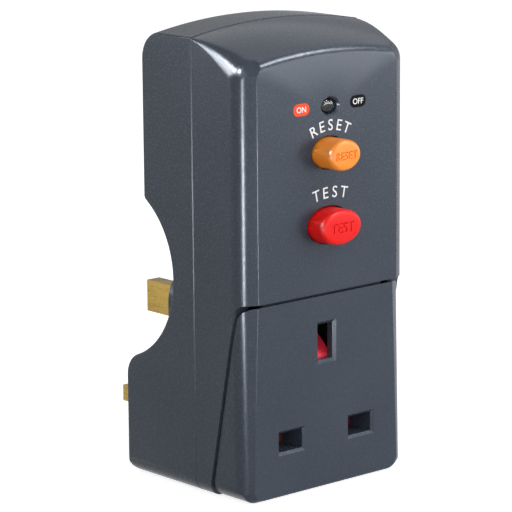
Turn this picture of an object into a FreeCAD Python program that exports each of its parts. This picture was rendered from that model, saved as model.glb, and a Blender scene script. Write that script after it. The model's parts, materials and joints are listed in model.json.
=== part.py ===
import FreeCAD, Part
import math
import os
import re

import Sketcher
from FreeCAD import Placement, Rotation, Vector

# Plug-through safety adaptor with a three-pin plug behind and a shuttered socket in front.
# Frame: origin on the plug face midway between the two flat pins, X to the right as the
# socket is faced, Y into the wall, Z up towards the earth pin. Millimetres.

os.makedirs("parts", exist_ok=True)
doc = FreeCAD.newDocument("plug_through_adaptor")
sheet = doc.addObject("Spreadsheet::Sheet", "Sizes")

SIZES = [
    # Casing as a whole
    ("base_drop", 14.4, "flat pins' centre line down to the base"),
    ("front_depth", 43.6, "plug face to the upper panel"),
    ("wall", 2.2, "moulded wall"),
    ("side_room", 2.7, "mechanism base to the side face, past a screw boss"),
    ("top_room", 6.1, "solenoid to the crown"),
    ("back_room", 2.1, "capacitor to the back wall"),
    ("crown_rise", 2.5, "rise of the top across the width"),
    ("brow_lead", 3.6, "start of the fall behind the seam"),
    ("brow_radius", 42.0, "radius of that fall"),
    ("brow_round", 5.0, "top corner radius at the front"),
    ("brow_edge_round", 2.5, "upper edge of the panel"),
    ("side_round", 0.5, "rounding of side edges"),
    ("base_round", 4.0, "rounding between base and sides"),
    ("seam_bevel", 0.2, "bevel along the seam"),
    ("band_face", 4.3, "corner band, measured on the panel"),
    ("band_side", 2.48, "corner band, measured on the side"),
    ("band_round", 4.5, "rounding between band and side"),
    ("panel_round", 0.6, "rounding between band and panel"),
    ("cavity_round", 3.0, "inside rounding behind the band"),
    # Rear shell
    ("back_round", 6.5, "top back edge"),
    ("heel_round", 3.6, "bottom back edge"),
    ("recess_offset", 3.9, "recess axis behind the plug face"),
    ("recess_clear", 0.8, "supply bars to the recess wall"),
    ("recess_over", 2.4, "recess axis above the step"),
    ("lip_round", 6.0, "lower edge of the recess"),
    ("brow_lip_round", 1.5, "upper edge of the recess"),
    ("tongue_width", 26.0, "raised tongue round the earth pin"),
    ("tongue_over", 7.8, "tongue above the earth pin"),
    ("tongue_round", 8.0, "top corners of the tongue"),
    # Case screws
    ("low_screw_drop", 8.5, "lower screws below the flat pins"),
    ("high_screw_under", 4.5, "upper screws below the reset button"),
    ("boss_radius", 3.2, "front screw bosses"),
    ("boss_wall", 0.75, "wall round a screw head"),
    ("boss_lap", 0.2, "boss into the side wall"),
    ("screw_radius", 1.45, "screw shank"),
    ("screw_head_radius", 2.7, "screw head"),
    ("screw_head_depth", 1.8, "screw head height"),
    ("screw_sink", 6.0, "head seat below the back face"),
    ("screw_bite", 3.4, "thread length past the seam"),
    ("screw_gap", 0.15, "clearance round shank and head"),
    ("screw_slot", 0.8, "cross slot in the screw head"),
    # Pins, to the national 13 A plug standard
    ("pin_spacing", 22.2, "between the flat pins"),
    ("earth_rise", 22.2, "earth pin above the flat pins"),
    ("flat_pin_width", 6.35, "flat pin"),
    ("flat_pin_thick", 4.0, "flat pin"),
    ("flat_pin_reach", 17.7, "flat pin from the plug face"),
    ("earth_pin_width", 4.0, "earth pin"),
    ("earth_pin_tall", 8.0, "earth pin"),
    ("earth_pin_reach", 22.7, "earth pin from the plug face"),
    ("pin_point", 1.0, "bevel at the pin tips"),
    ("sleeve_reach", 9.3, "insulating sleeve from the plug face"),
    ("sleeve_wall", 0.5, "insulating sleeve"),
    ("pin_root", 6.0, "flat pin behind the plug face"),
    ("pin_flange", 1.5, "flange that anchors a flat pin"),
    # Socket cover
    ("step_height", 33.4, "lower edge of the upper panel"),
    ("cover_gap", 0.4, "gap along the slanted edge"),
    ("cover_top_gap", 0.9, "gap under the upper panel"),
    ("cover_setback", 0.8, "cover face behind the upper panel"),
    ("parting_lead", 3.5, "slanted edge behind the panel at the step"),
    ("parting_lip", 4.7, "slanted edge in front of the seam at the base"),
    ("cover_inset", 0.6, "cover sides inside the shell's sides"),
    ("parting_round", 2.5, "inner corner of the shell's edge"),
    ("cover_corner", 3.5, "upper back corner of the cover"),
    ("cover_heel", 2.5, "lower back corner of the cover"),
    ("cover_band_top", 4.3, "corner band of the cover at the step"),
    ("cover_band_base", 2.6, "corner band of the cover at the base"),
    ("cover_foot_round", 4.5, "base corners of the cover, seen from the front"),
    ("cover_foot_bevel", 0.6, "lower edge of the cover's face"),
    ("cover_band_round", 4.0, "rounding between band and side"),
    ("cover_wall", 2.0, "cover side walls"),
    ("cover_front_wall", 2.4, "cover front wall"),
    ("cover_hook_in", 9.0, "inner edge of the top hooks"),
    ("cover_hook_out", 15.0, "outer edge of the top hooks"),
    ("cover_hook_rise", 2.4, "hooks above the step"),
    ("cover_rib_width", 38.0, "rib that closes the gap at the step"),
    ("cover_rib_gap", 0.1, "rib behind the panel's wall"),
    ("cover_rib_thick", 0.8, "rib front to back"),
    ("cover_rib_rise", 1.0, "rib above the step"),
    ("lip_gap", 0.3, "lip to cover wall"),
    ("lip_width", 1.7, "width of the lip"),
    ("lip_lap", 2.6, "lip reach past the cover's edge"),
    # Socket apertures
    ("aperture_drop", 1.0, "flat apertures below the flat pins"),
    ("flat_slot_width", 7.3, "flat aperture"),
    ("flat_slot_tall", 4.6, "flat aperture"),
    ("earth_slot_width", 4.7, "earth aperture"),
    ("earth_slot_tall", 8.7, "earth aperture"),
    ("slot_bevel", 0.7, "bevel round each aperture"),
    ("collar_wall", 1.2, "collars behind the flat apertures"),
    ("collar_depth", 7.5, "collars from the cover face"),
    # Upper panel fittings
    ("window_across", 0.5, "window from the middle"),
    ("window_width", 5.0, "window hole"),
    ("window_tall", 3.9, "window hole"),
    ("window_bevel", 0.45, "bevel round the window"),
    ("window_sink", 0.6, "window below the panel"),
    ("window_flange", 0.8, "window flange behind the wall"),
    ("reset_width", 9.85, "reset button"),
    ("reset_tall", 7.3, "reset button"),
    ("reset_reach", 6.1, "reset button from the panel"),
    ("reset_travel", 3.0, "reset button travel"),
    ("test_width", 12.8, "test button"),
    ("test_tall", 8.4, "test button"),
    ("test_reach", 4.75, "test button from the panel"),
    ("test_travel", 2.0, "test button travel"),
    ("button_gap", 0.4, "gap round each button"),
    ("button_round", 1.1, "front edge of each button"),
    ("flange_margin", 0.9, "button flange past the button"),
    ("flange_thick", 1.0, "button flange"),
    ("flange_gap", 0.3, "button flange behind the panel"),
    ("stem_radius", 2.4, "button stems"),
    ("spring_room", 4.7, "button springs"),
    ("button_margin", 1.1, "guide past the test flange"),
    ("button_space", 9.25, "test button to reset button"),
    ("window_space", 5.2, "reset button to window"),
    # Mechanism
    ("guide_thick", 1.2, "button guide"),
    ("guide_clear", 0.4, "guide above the winding"),
    ("guide_over", 4.5, "guide above the reset button's middle"),
    ("guide_lap", 0.4, "guide past the mechanism base"),
    ("slide_fit", 0.06, "radial clearance of stems and pins"),
    ("base_thick", 2.0, "mechanism base"),
    ("base_margin", 5.3, "mechanism base past the pins' spacing"),
    ("base_over", 0.5, "mechanism base above the solenoid"),
    ("pillar_radius", 1.6, "rear pillars"),
    ("pillar_under", 11.5, "lower pillars below the reset button"),
    ("pillar_over", 2.7, "upper pillars above the window"),
    ("post_radius", 1.5, "guide posts"),
    ("post_edge", 0.3, "posts inside the base's edge"),
    ("post_margin", 2.2, "guide posts inside the guide's edges"),
    ("carrier_tall", 8.0, "contact carrier"),
    ("carrier_gap", 0.3, "guide to carrier"),
    ("carrier_side_gap", 0.4, "carrier to the posts"),
    ("carrier_thick", 3.4, "contact carrier"),
    ("rail_out", 6.0, "carrier rails from the middle"),
    ("rail_radius", 1.2, "carrier rails"),
    ("bridge_width", 3.2, "moving contact bridges"),
    ("bridge_thick", 0.8, "moving contact bridges"),
    ("bridge_tall", 14.4, "moving contact bridges"),
    ("contact_step", 5.5, "fixed contacts above and below the carrier's middle"),
    ("contact_radius", 1.6, "fixed contact heads"),
    ("contact_shank", 0.9, "fixed contact shanks"),
    ("contact_head", 1.0, "fixed contact heads in front of the base"),
    ("contact_rest", 0.1, "air left when a button is fully pressed"),
    ("spring_wire", 0.4, "spring wire"),
    ("button_spring_radius", 3.3, "button springs"),
    ("carrier_spring_radius", 2.4, "carrier spring"),
    ("test_disc_radius", 3.2, "test contact disc"),
    ("test_disc_thick", 0.5, "test contact disc"),
    ("test_post_out", 1.8, "test terminals from the middle"),
    ("test_post_radius", 0.8, "test terminals"),
    # Indicator
    ("flag_radius", 6.8, "flag rim"),
    ("flag_rim", 0.9, "flag rim thickness"),
    ("flag_field", 40.0, "angle of each colour field, degrees"),
    ("flag_width", 8.8, "flag"),
    ("flag_hub", 1.6, "flag hub radius"),
    ("flag_film", 0.25, "orange band's thickness"),
    ("flag_tip", 0.7, "drive tip radius"),
    ("flag_gap", 0.35, "flag to the window"),
    ("tip_gap", 0.15, "drive tip above the carrier"),
    ("flag_pin_radius", 0.6, "flag pivot pin"),
    ("ear_gap", 0.4, "flag to each ear"),
    ("ear_thick", 1.6, "ears that carry the flag pin"),
    ("ear_tall", 4.2, "ears that carry the flag pin"),
    ("prong_gap", 0.4, "carrier prongs to the drive tip"),
    ("prong_thick", 0.75, "carrier prongs"),
    # Trip solenoid
    ("coil_left", 16.0, "solenoid frame's left end"),
    ("coil_right", 2.0, "solenoid frame's right end"),
    ("coil_frame", 1.0, "frame sheet"),
    ("coil_lift", 5.4, "solenoid axis in front of the base"),
    ("coil_over", 8.7, "solenoid axis above the window"),
    ("coil_frame_tall", 9.0, "frame"),
    ("coil_frame_reach", 4.4, "frame past the axis"),
    ("coil_radius", 4.0, "winding"),
    ("bobbin_radius", 2.5, "bobbin tube"),
    ("bobbin_flange", 0.8, "bobbin flanges"),
    ("plunger_radius", 1.4, "plunger"),
    ("plunger_left", 21.0, "plunger's left collar"),
    ("plunger_collar", 1.2, "plunger collar"),
    ("plunger_right", 8.0, "plunger's right end"),
    ("plunger_travel", 2.0, "plunger travel"),
    ("lever_hub", 2.2, "lever hub radius"),
    ("lever_reach", 6.5, "lever pivot below the plunger"),
    ("lever_drop", 4.7, "lever foot below the pivot"),
    ("lever_offset", 1.8, "lever pivot past the plunger's end"),
    ("lever_pin", 1.0, "lever pivot radius"),
    ("lever_thick", 2.8, "lever"),
    ("lever_gap", 0.2, "plunger to lever"),
    ("lever_arm_width", 1.6, "lever arms"),
    # Socket contacts
    ("block_low", 10.5, "socket block below the flat pins"),
    ("well_floor", 1.4, "floor of the flat pin wells"),
    ("block_thick", 11.1, "socket block front to back"),
    ("block_inset", 0.2, "socket block narrower than the base"),
    ("block_under", 1.9, "socket block below the step"),
    ("well_margin", 1.3, "well round a contact"),
    ("clip_thick", 0.7, "contact sheet"),
    ("clip_width", 6.0, "flat pin contact"),
    ("clip_bite", 0.05, "contact to pin"),
    ("clip_gap", 0.3, "earth contact to the recess wall"),
    ("earth_clip_tall", 7.6, "earth contact"),
    ("clip_recess", 0.5, "contact below the block's face"),
    ("tail_drop", 2.5, "load tail below the flat apertures"),
    ("tail_width", 3.0, "load tail"),
    ("tail_reach", 1.5, "load tail behind the block"),
    ("block_post_radius", 2.5, "posts that carry the socket block"),
    ("block_post_low", 7.0, "lower post below the flat pins"),
    ("block_post_high", 9.0, "upper post above the flat pins"),
    # Shutter
    ("shutter_gap", 0.2, "shutter to collars and block"),
    ("shutter_thick", 1.4, "shutter"),
    ("shutter_travel", 5.6, "shutter travel"),
    ("shutter_lap", 0.9, "shutter past the flat apertures"),
    ("shutter_span", 31.0, "shutter across both flat apertures"),
    ("shutter_column", 7.0, "shutter's middle column"),
    ("shutter_nose_top", 22.4, "nose above the flat pins"),
    ("shutter_nose_low", 17.6, "foot of the nose's ramp above the flat pins"),
    ("shutter_nose_gap", 0.3, "nose behind the cover's wall"),
    ("shutter_nose_round", 1.2, "nose edge"),
    ("shutter_spring_radius", 1.6, "shutter spring"),
    # Current path
    ("bar_width", 3.4, "supply bars"),
    ("bar_thick", 0.8, "supply bars"),
    ("bar_gap", 2.0, "supply bars behind the base"),
    ("strip_width", 2.4, "load strips"),
    ("strip_thick", 0.6, "load strips"),
    ("strip_reach", 1.0, "load strips below the base"),
    ("strip_across", 6.0, "load strips' lower end from the middle"),
    ("lead_radius", 0.7, "load leads"),
    ("lead_room", 2.6, "base above the winding, for the leads"),
    ("ring_across", 2.2, "leads in the ring from the middle"),
    ("ring_tall", 7.0, "ring core"),
    ("ring_gap", 1.1, "winding to the panel"),
    ("ring_lift", 2.7, "winding above the socket block"),
    ("ring_outer", 8.5, "ring core"),
    ("ring_inner", 4.6, "ring core"),
    ("winding_thick", 0.8, "winding over the ring core"),
    ("winding_split", 5.0, "opening in the winding"),
    # Circuit board
    ("board_thick", 1.6, "circuit board"),
    ("board_gap", 0.7, "board to the pillars"),
    ("board_under", 1.5, "board below the reset button's middle"),
    ("part_margin", 2.0, "parts inside the board's edge"),
    ("board_lift", 1.2, "board behind the mechanism base"),
    ("pad_radius", 1.4, "board pads"),
    ("pad_margin", 2.2, "pads inside the board's edges"),
    ("capacitor_radius", 4.0, "capacitor"),
    ("capacitor_length", 9.0, "capacitor"),
    ("capacitor_across", -7.0, "capacitor from the middle"),
    ("varistor_radius", 4.2, "varistor"),
    ("varistor_thick", 3.4, "varistor"),
    ("varistor_across", 3.0, "varistor's left face"),
    ("chip_width", 9.4, "control chip"),
    ("chip_tall", 6.2, "control chip"),
    ("chip_thick", 2.6, "control chip"),
    ("chip_over", 9.5, "control chip above the board's lower edge"),
    ("resistor_radius", 1.3, "test resistor"),
    ("resistor_length", 7.0, "test resistor"),
    ("resistor_over", 5.5, "test resistor above the board's lower edge"),
    ("resistor_across", 9.6, "test resistor from the middle"),
]
# Sizes that follow from the others, so that neighbours stay together
DERIVED = [
    ("base_width", "pin_spacing + 2 * base_margin", "mechanism base"),
    ("boss_outer", "screw_head_radius + screw_gap + boss_wall", "rear screw bosses' radius"),
    ("body_width", "base_width + 4 * boss_outer + 2 * side_room", "across the side faces"),
    ("screw_out", "body_width / 2 - wall - boss_outer + boss_lap", "case screws from the middle"),
    ("guide_depth", "front_depth - wall - flange_gap - flange_thick - spring_room", "button guide's front face"),
    ("base_depth",
     "guide_depth - guide_thick - carrier_gap - carrier_thick "
     "- bridge_thick - reset_travel - contact_rest - contact_head",
     "mechanism base's front face"),
    ("seam_depth", "base_depth", "seam between the shells"),
    ("bar_depth", "base_depth - base_thick - bar_gap - bar_thick", "supply bars' back face"),
    ("block_setback",
     "base_depth - base_thick - board_lift - board_thick "
     "- capacitor_length - back_room - wall",
     "back of the upper block"),
    ("recess_radius", "bar_depth - recess_clear - wall + recess_offset", "finger recess"),
    ("recess_height", "step_height + recess_over", "recess axis above the flat pins"),
    ("brow_start", "seam_depth - brow_lead", "depth where the top begins to fall to the front"),
    ("tongue_top", "earth_rise + earth_pin_tall / 2 + tongue_over", "top of the tongue"),
    ("parting_top", "front_depth - parting_lead", "depth of the slanted edge at the step"),
    ("parting_base", "seam_depth + parting_lip", "depth of the slanted edge at the base"),
    ("flag_depth",
     "front_depth - wall - window_flange - flag_gap - flag_film "
     "- flag_radius",
     "flag pivot behind the plug face"),
    ("coil_depth", "base_depth + coil_lift", "solenoid axis behind the plug face"),
    ("ring_depth", "front_depth - wall - ring_gap - winding_thick - ring_outer", "ring core's centre"),
    ("block_front",
     "front_depth - cover_setback - collar_depth - 2 * shutter_gap "
     "- shutter_thick",
     "socket block's front face"),
    ("block_back", "block_front - block_thick", "socket block's back face"),
    ("tail_back", "block_back - tail_reach", "load tail's end"),
    ("earth_clip_back", "recess_radius - recess_offset + wall + clip_gap", "earth contact's back face"),
    ("block_high", "step_height - block_under", "socket block above the flat pins"),
    ("ring_low", "block_high + ring_lift + winding_thick", "ring core's lower face"),
    ("ring_top", "ring_low + ring_tall + winding_thick", "top of the winding"),
    ("base_low", "ring_top + lead_room", "mechanism base's lower edge"),
    ("strip_low", "base_low - strip_reach", "load strips' lower end"),
    ("guide_low", "ring_top + guide_clear", "button guide's lower edge"),
    ("test_rise", "guide_low + test_tall / 2 + flange_margin + button_margin", "test button above the flat pins"),
    ("reset_rise", "test_rise + test_tall / 2 + button_space + reset_tall / 2", "reset button above the flat pins"),
    ("window_rise", "reset_rise + reset_tall / 2 + window_space + window_tall / 2", "window above the flat pins"),
    ("guide_high", "reset_rise + guide_over", "button guide's upper edge"),
    ("flag_arm",
     "window_rise - guide_high - prong_gap - prong_thick - tip_gap "
     "- flag_tip",
     "drive tip below the pivot"),
    ("coil_rise", "window_rise + coil_over", "solenoid axis above the flat pins"),
    ("base_high", "coil_rise + coil_frame_tall / 2 + base_over", "mechanism base's upper edge"),
    ("body_top", "coil_rise + coil_frame_tall / 2 + top_room", "flat pins' centre line up to the crown"),
    ("lever_rise", "coil_rise - lever_reach", "lever pivot above the flat pins"),
    ("lever_foot", "lever_rise - lever_drop", "lever foot above the flat pins"),
    ("lever_across", "plunger_right + lever_gap + lever_offset", "lever pivot from the middle"),
    ("high_screw_rise", "reset_rise - high_screw_under", "upper screws above the flat pins"),
    ("pillar_low", "reset_rise - pillar_under", "lower rear pillars"),
    ("pillar_high", "window_rise + pillar_over", "upper rear pillars"),
    ("pillar_out", "base_width / 2 - pillar_radius", "rear pillars from the middle"),
    ("guide_width", "base_width + 2 * guide_lap", "button guide"),
    ("block_width", "base_width - block_inset", "socket block"),
    ("post_out", "base_width / 2 - post_radius - post_edge", "guide posts from the middle"),
    ("carrier_width", "2 * (post_out - post_radius - carrier_side_gap)", "contact carrier"),
    ("board_width", "2 * (pillar_out - pillar_radius - board_gap)", "circuit board"),
    ("board_low", "reset_rise - board_under", "circuit board's lower edge"),
    ("board_high", "base_high", "circuit board's upper edge"),
    ("capacitor_rise", "board_high - capacitor_radius - part_margin", "capacitor above the flat pins"),
    ("varistor_rise", "board_high - varistor_radius - part_margin", "varistor above the flat pins"),
    ("chip_rise", "board_low + chip_over", "control chip above the flat pins"),
    ("resistor_rise", "board_low + resistor_over", "test resistor's lower end"),
    ("cover_inner", "body_width / 2 - cover_inset - cover_wall", "cover's inside from the middle"),
]
ALIASES = {row[0] for row in SIZES + DERIVED}
for row, (alias, value, note) in enumerate(SIZES, start=1):
    sheet.set(f"A{row}", note)
    sheet.set(f"B{row}", str(value))
    sheet.setAlias(f"B{row}", alias)
for row, (alias, text, note) in enumerate(DERIVED, start=len(SIZES) + 1):
    sheet.set(f"A{row}", note)
    sheet.setAlias(f"B{row}", alias)
for row, (alias, text, note) in enumerate(DERIVED, start=len(SIZES) + 1):
    sheet.set(f"B{row}", "=" + text)
doc.recompute()


def size(alias):
    return float(getattr(sheet, alias))


def formula(text):
    def qualify(match):
        word = match.group()
        return "Sizes." + word if word in ALIASES else word
    return re.sub(r"[a-z]+(?:_[a-z0-9]+)*", qualify, text)


def bind(item, prop, text):
    item.setExpression(prop, formula(text))


NODES = {}
TURNS = {
    "x": Rotation(Vector(0, 1, 0), 90),
    "y": Rotation(Vector(1, 0, 0), -90),
    "z": Rotation(),
}


def node(label, item):
    item.Label = label
    NODES[label] = item
    return item


def box(name, x, y, z):
    item = doc.addObject("Part::Box", name)
    for axis, prop, (low, high) in (("x", "Length", x), ("y", "Width", y), ("z", "Height", z)):
        bind(item, prop, f"({high}) - ({low})")
        bind(item, f"Placement.Base.{axis}", low)
    return item


def rod(name, axis, radius, **place):
    """A cylinder along an axis: that axis takes a (low, high) pair, the others a centre."""
    item = doc.addObject("Part::Cylinder", name)
    item.Placement = Placement(Vector(), TURNS[axis])
    low, high = place[axis]
    bind(item, "Radius", radius)
    bind(item, "Height", f"({high}) - ({low})")
    for word, text in dict(place, **{axis: low}).items():
        bind(item, f"Placement.Base.{word}", text)
    return item


def join(name, items):
    item = doc.addObject("Part::MultiFuse", name)
    item.Shapes = items
    item.Refine = True
    return item


def cut(name, base, tools):
    item = doc.addObject("Part::Cut", name)
    item.Base = base
    item.Tool = tools[0] if len(tools) == 1 else join(name + "_tools", tools)
    item.Refine = True
    return item


def overlap(name, items):
    item = doc.addObject("Part::MultiCommon", name)
    item.Shapes = items
    item.Refine = True
    return item


def middle(edge):
    return edge.valueAt((edge.FirstParameter + edge.LastParameter) / 2)


def edge_numbers(shape, wanted):
    return [number for number, edge in enumerate(shape.Edges, start=1) if wanted(edge)]


def soften(kind, name, base, first, second, wanted):
    """Part fillets and chamfers on the edges that a rule picks out."""
    doc.recompute()
    item = doc.addObject(kind, name)
    item.Base = base
    item.Edges = [(number, first, second) for number in edge_numbers(base.Shape, wanted)]
    return item


def round_edges(name, base, radius, wanted):
    return soften("Part::Fillet", name, base, radius, radius, wanted)


def bevel_edges(name, base, amount, wanted):
    return soften("Part::Chamfer", name, base, amount, amount, wanted)


def close(first, second, slack=1e-3):
    return abs(first - second) < slack


# Outlines in sketches: each corner is tied to the sheet by its two distances from the origin

def sketch_on(body, name, plane, offset="0"):
    support = [item for item in body.Origin.OriginFeatures if item.Role == plane][0]
    sketch = body.newObject("Sketcher::SketchObject", name)
    sketch.AttachmentSupport = [(support, "")]
    sketch.MapMode = "FlatFace"
    bind(sketch, "AttachmentOffset.Base.z", offset)
    return sketch


def pin_point(sketch, geometry, end, u, v):
    place = sketch.getPoint(geometry, end)
    for kind, text, value in (("DistanceX", u, place.x), ("DistanceY", v, place.y)):
        number = sketch.addConstraint(Sketcher.Constraint(kind, -1, 1, geometry, end, value))
        bind(sketch, f"Constraints[{number}]", text)


def polygon(sketch, corners):
    count = len(corners)
    ring = [
        Vector(math.cos(2 * math.pi * turn / count), math.sin(2 * math.pi * turn / count), 0)
        for turn in range(count)
    ]
    for turn in range(count):
        sketch.addGeometry(Part.LineSegment(ring[turn], ring[(turn + 1) % count]))
    for turn in range(count):
        sketch.addConstraint(Sketcher.Constraint("Coincident", turn, 2, (turn + 1) % count, 1))
    for turn, (u, v) in enumerate(corners):
        pin_point(sketch, turn, 1, u, v)


def circle(sketch, u, v, radius):
    number = sketch.addGeometry(Part.Circle(Vector(), Vector(0, 0, 1), 1.0))
    pin_point(sketch, number, 3, u, v)
    constraint = sketch.addConstraint(Sketcher.Constraint("Radius", number, 1.0))
    bind(sketch, f"Constraints[{constraint}]", radius)


def prism(name, plane, offset, corners, length, both=False):
    """A body with one pad: from the sketch plane, or half to each side of it."""
    body = doc.addObject("PartDesign::Body", name)
    sketch = sketch_on(body, name + "_outline", plane, offset)
    polygon(sketch, corners)
    pad = body.newObject("PartDesign::Pad", name + "_pad")
    pad.Profile = sketch
    bind(pad, "Length", length)
    if both:
        pad.Midplane = True
    return body


def body_round(body, name, radius, wanted, kind="PartDesign::Fillet"):
    doc.recompute()
    tip = body.Tip
    item = body.newObject(kind, name)
    item.Base = (tip, [f"Edge{number}" for number in edge_numbers(tip.Shape, wanted)])
    bind(item, "Radius" if kind.endswith("Fillet") else "Size", radius)
    doc.recompute()
    return item


def oval(name, width, tall, x, z, y):
    """An oval bar along Y."""
    ring = doc.addObject("Part::Ellipse", name + "_ring")
    ring.Placement = Placement(Vector(), Rotation(Vector(1, 0, 0), 90))
    bind(ring, "MajorRadius", f"({width}) / 2")
    bind(ring, "MinorRadius", f"({tall}) / 2")
    bind(ring, "Placement.Base.x", x)
    bind(ring, "Placement.Base.y", y[0])
    bind(ring, "Placement.Base.z", z)
    item = doc.addObject("Part::Extrusion", name)
    item.Base = ring
    item.DirMode = "Custom"
    item.Dir = Vector(0, 1, 0)
    item.Solid = True
    bind(item, "LengthFwd", f"({y[1]}) - ({y[0]})")
    return item


def made(name, shape):
    item = doc.addObject("Part::Feature", name)
    item.Shape = shape
    return item


# Driving values that the code sections share

half_width = size("body_width") / 2
base_z = -size("base_drop")
top_z = size("body_top")
seam_y = -size("seam_depth")
front_y = -size("front_depth")
wall = size("wall")
crown_radius = (half_width ** 2 + size("crown_rise") ** 2) / (2 * size("crown_rise"))
CROWN_RADIUS = "(body_width * body_width / 4 + crown_rise * crown_rise) / (2 * crown_rise)"


# Rear shell: side outline padded across the width, crown, finger recess and tongue

def crown_pocket(body, name):
    """Takes away what lies above the crowned top, all along Y."""
    sketch = sketch_on(body, name + "_outline", "XZ_Plane")
    across = "(body_width / 2 + wall)"
    sketch.addGeometry(Part.ArcOfCircle(
        Part.Circle(Vector(0, -100, 0), Vector(0, 0, 1), 200), math.radians(80), math.radians(100)))
    corners = [Vector(-35, 97, 0), Vector(-35, 110, 0), Vector(35, 110, 0), Vector(35, 97, 0)]
    for first, second in zip(corners, corners[1:]):
        sketch.addGeometry(Part.LineSegment(first, second))
    for first, end, second, start in ((0, 2, 1, 1), (1, 2, 2, 1), (2, 2, 3, 1), (3, 2, 0, 1)):
        sketch.addConstraint(Sketcher.Constraint("Coincident", first, end, second, start))
    drop = f"(({CROWN_RADIUS}) - sqrt(({CROWN_RADIUS}) ^ 2 - {across} ^ 2))"
    pin_point(sketch, 0, 2, f"-{across}", f"body_top - {drop}")
    pin_point(sketch, 0, 1, across, f"body_top - {drop}")
    pin_point(sketch, 2, 1, f"-{across}", "body_top + back_round")
    pin_point(sketch, 2, 2, across, "body_top + back_round")
    radius = sketch.addConstraint(Sketcher.Constraint("Radius", 0, 200.0))
    bind(sketch, f"Constraints[{radius}]", CROWN_RADIUS)
    pocket = body.newObject("PartDesign::Pocket", name)
    pocket.Profile = sketch
    pocket.Type = "ThroughAll"
    pocket.Midplane = True
    return pocket


# Rounds both shells' base corners alike, as seen from the front
foot_stock = box("foot_stock", ("-body_width / 2", "body_width / 2"), ("-front_depth - wall", "wall"),
                 ("-base_drop", "body_top + wall"))
doc.recompute()
foot = round_edges("foot", foot_stock, size("base_round"),
                   lambda edge: close(abs(edge.CenterOfMass.x), half_width) and close(edge.CenterOfMass.z, base_z))


def at_seam(edge):
    return close(edge.BoundBox.YMax, seam_y) and close(edge.BoundBox.YMin, seam_y)


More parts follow.
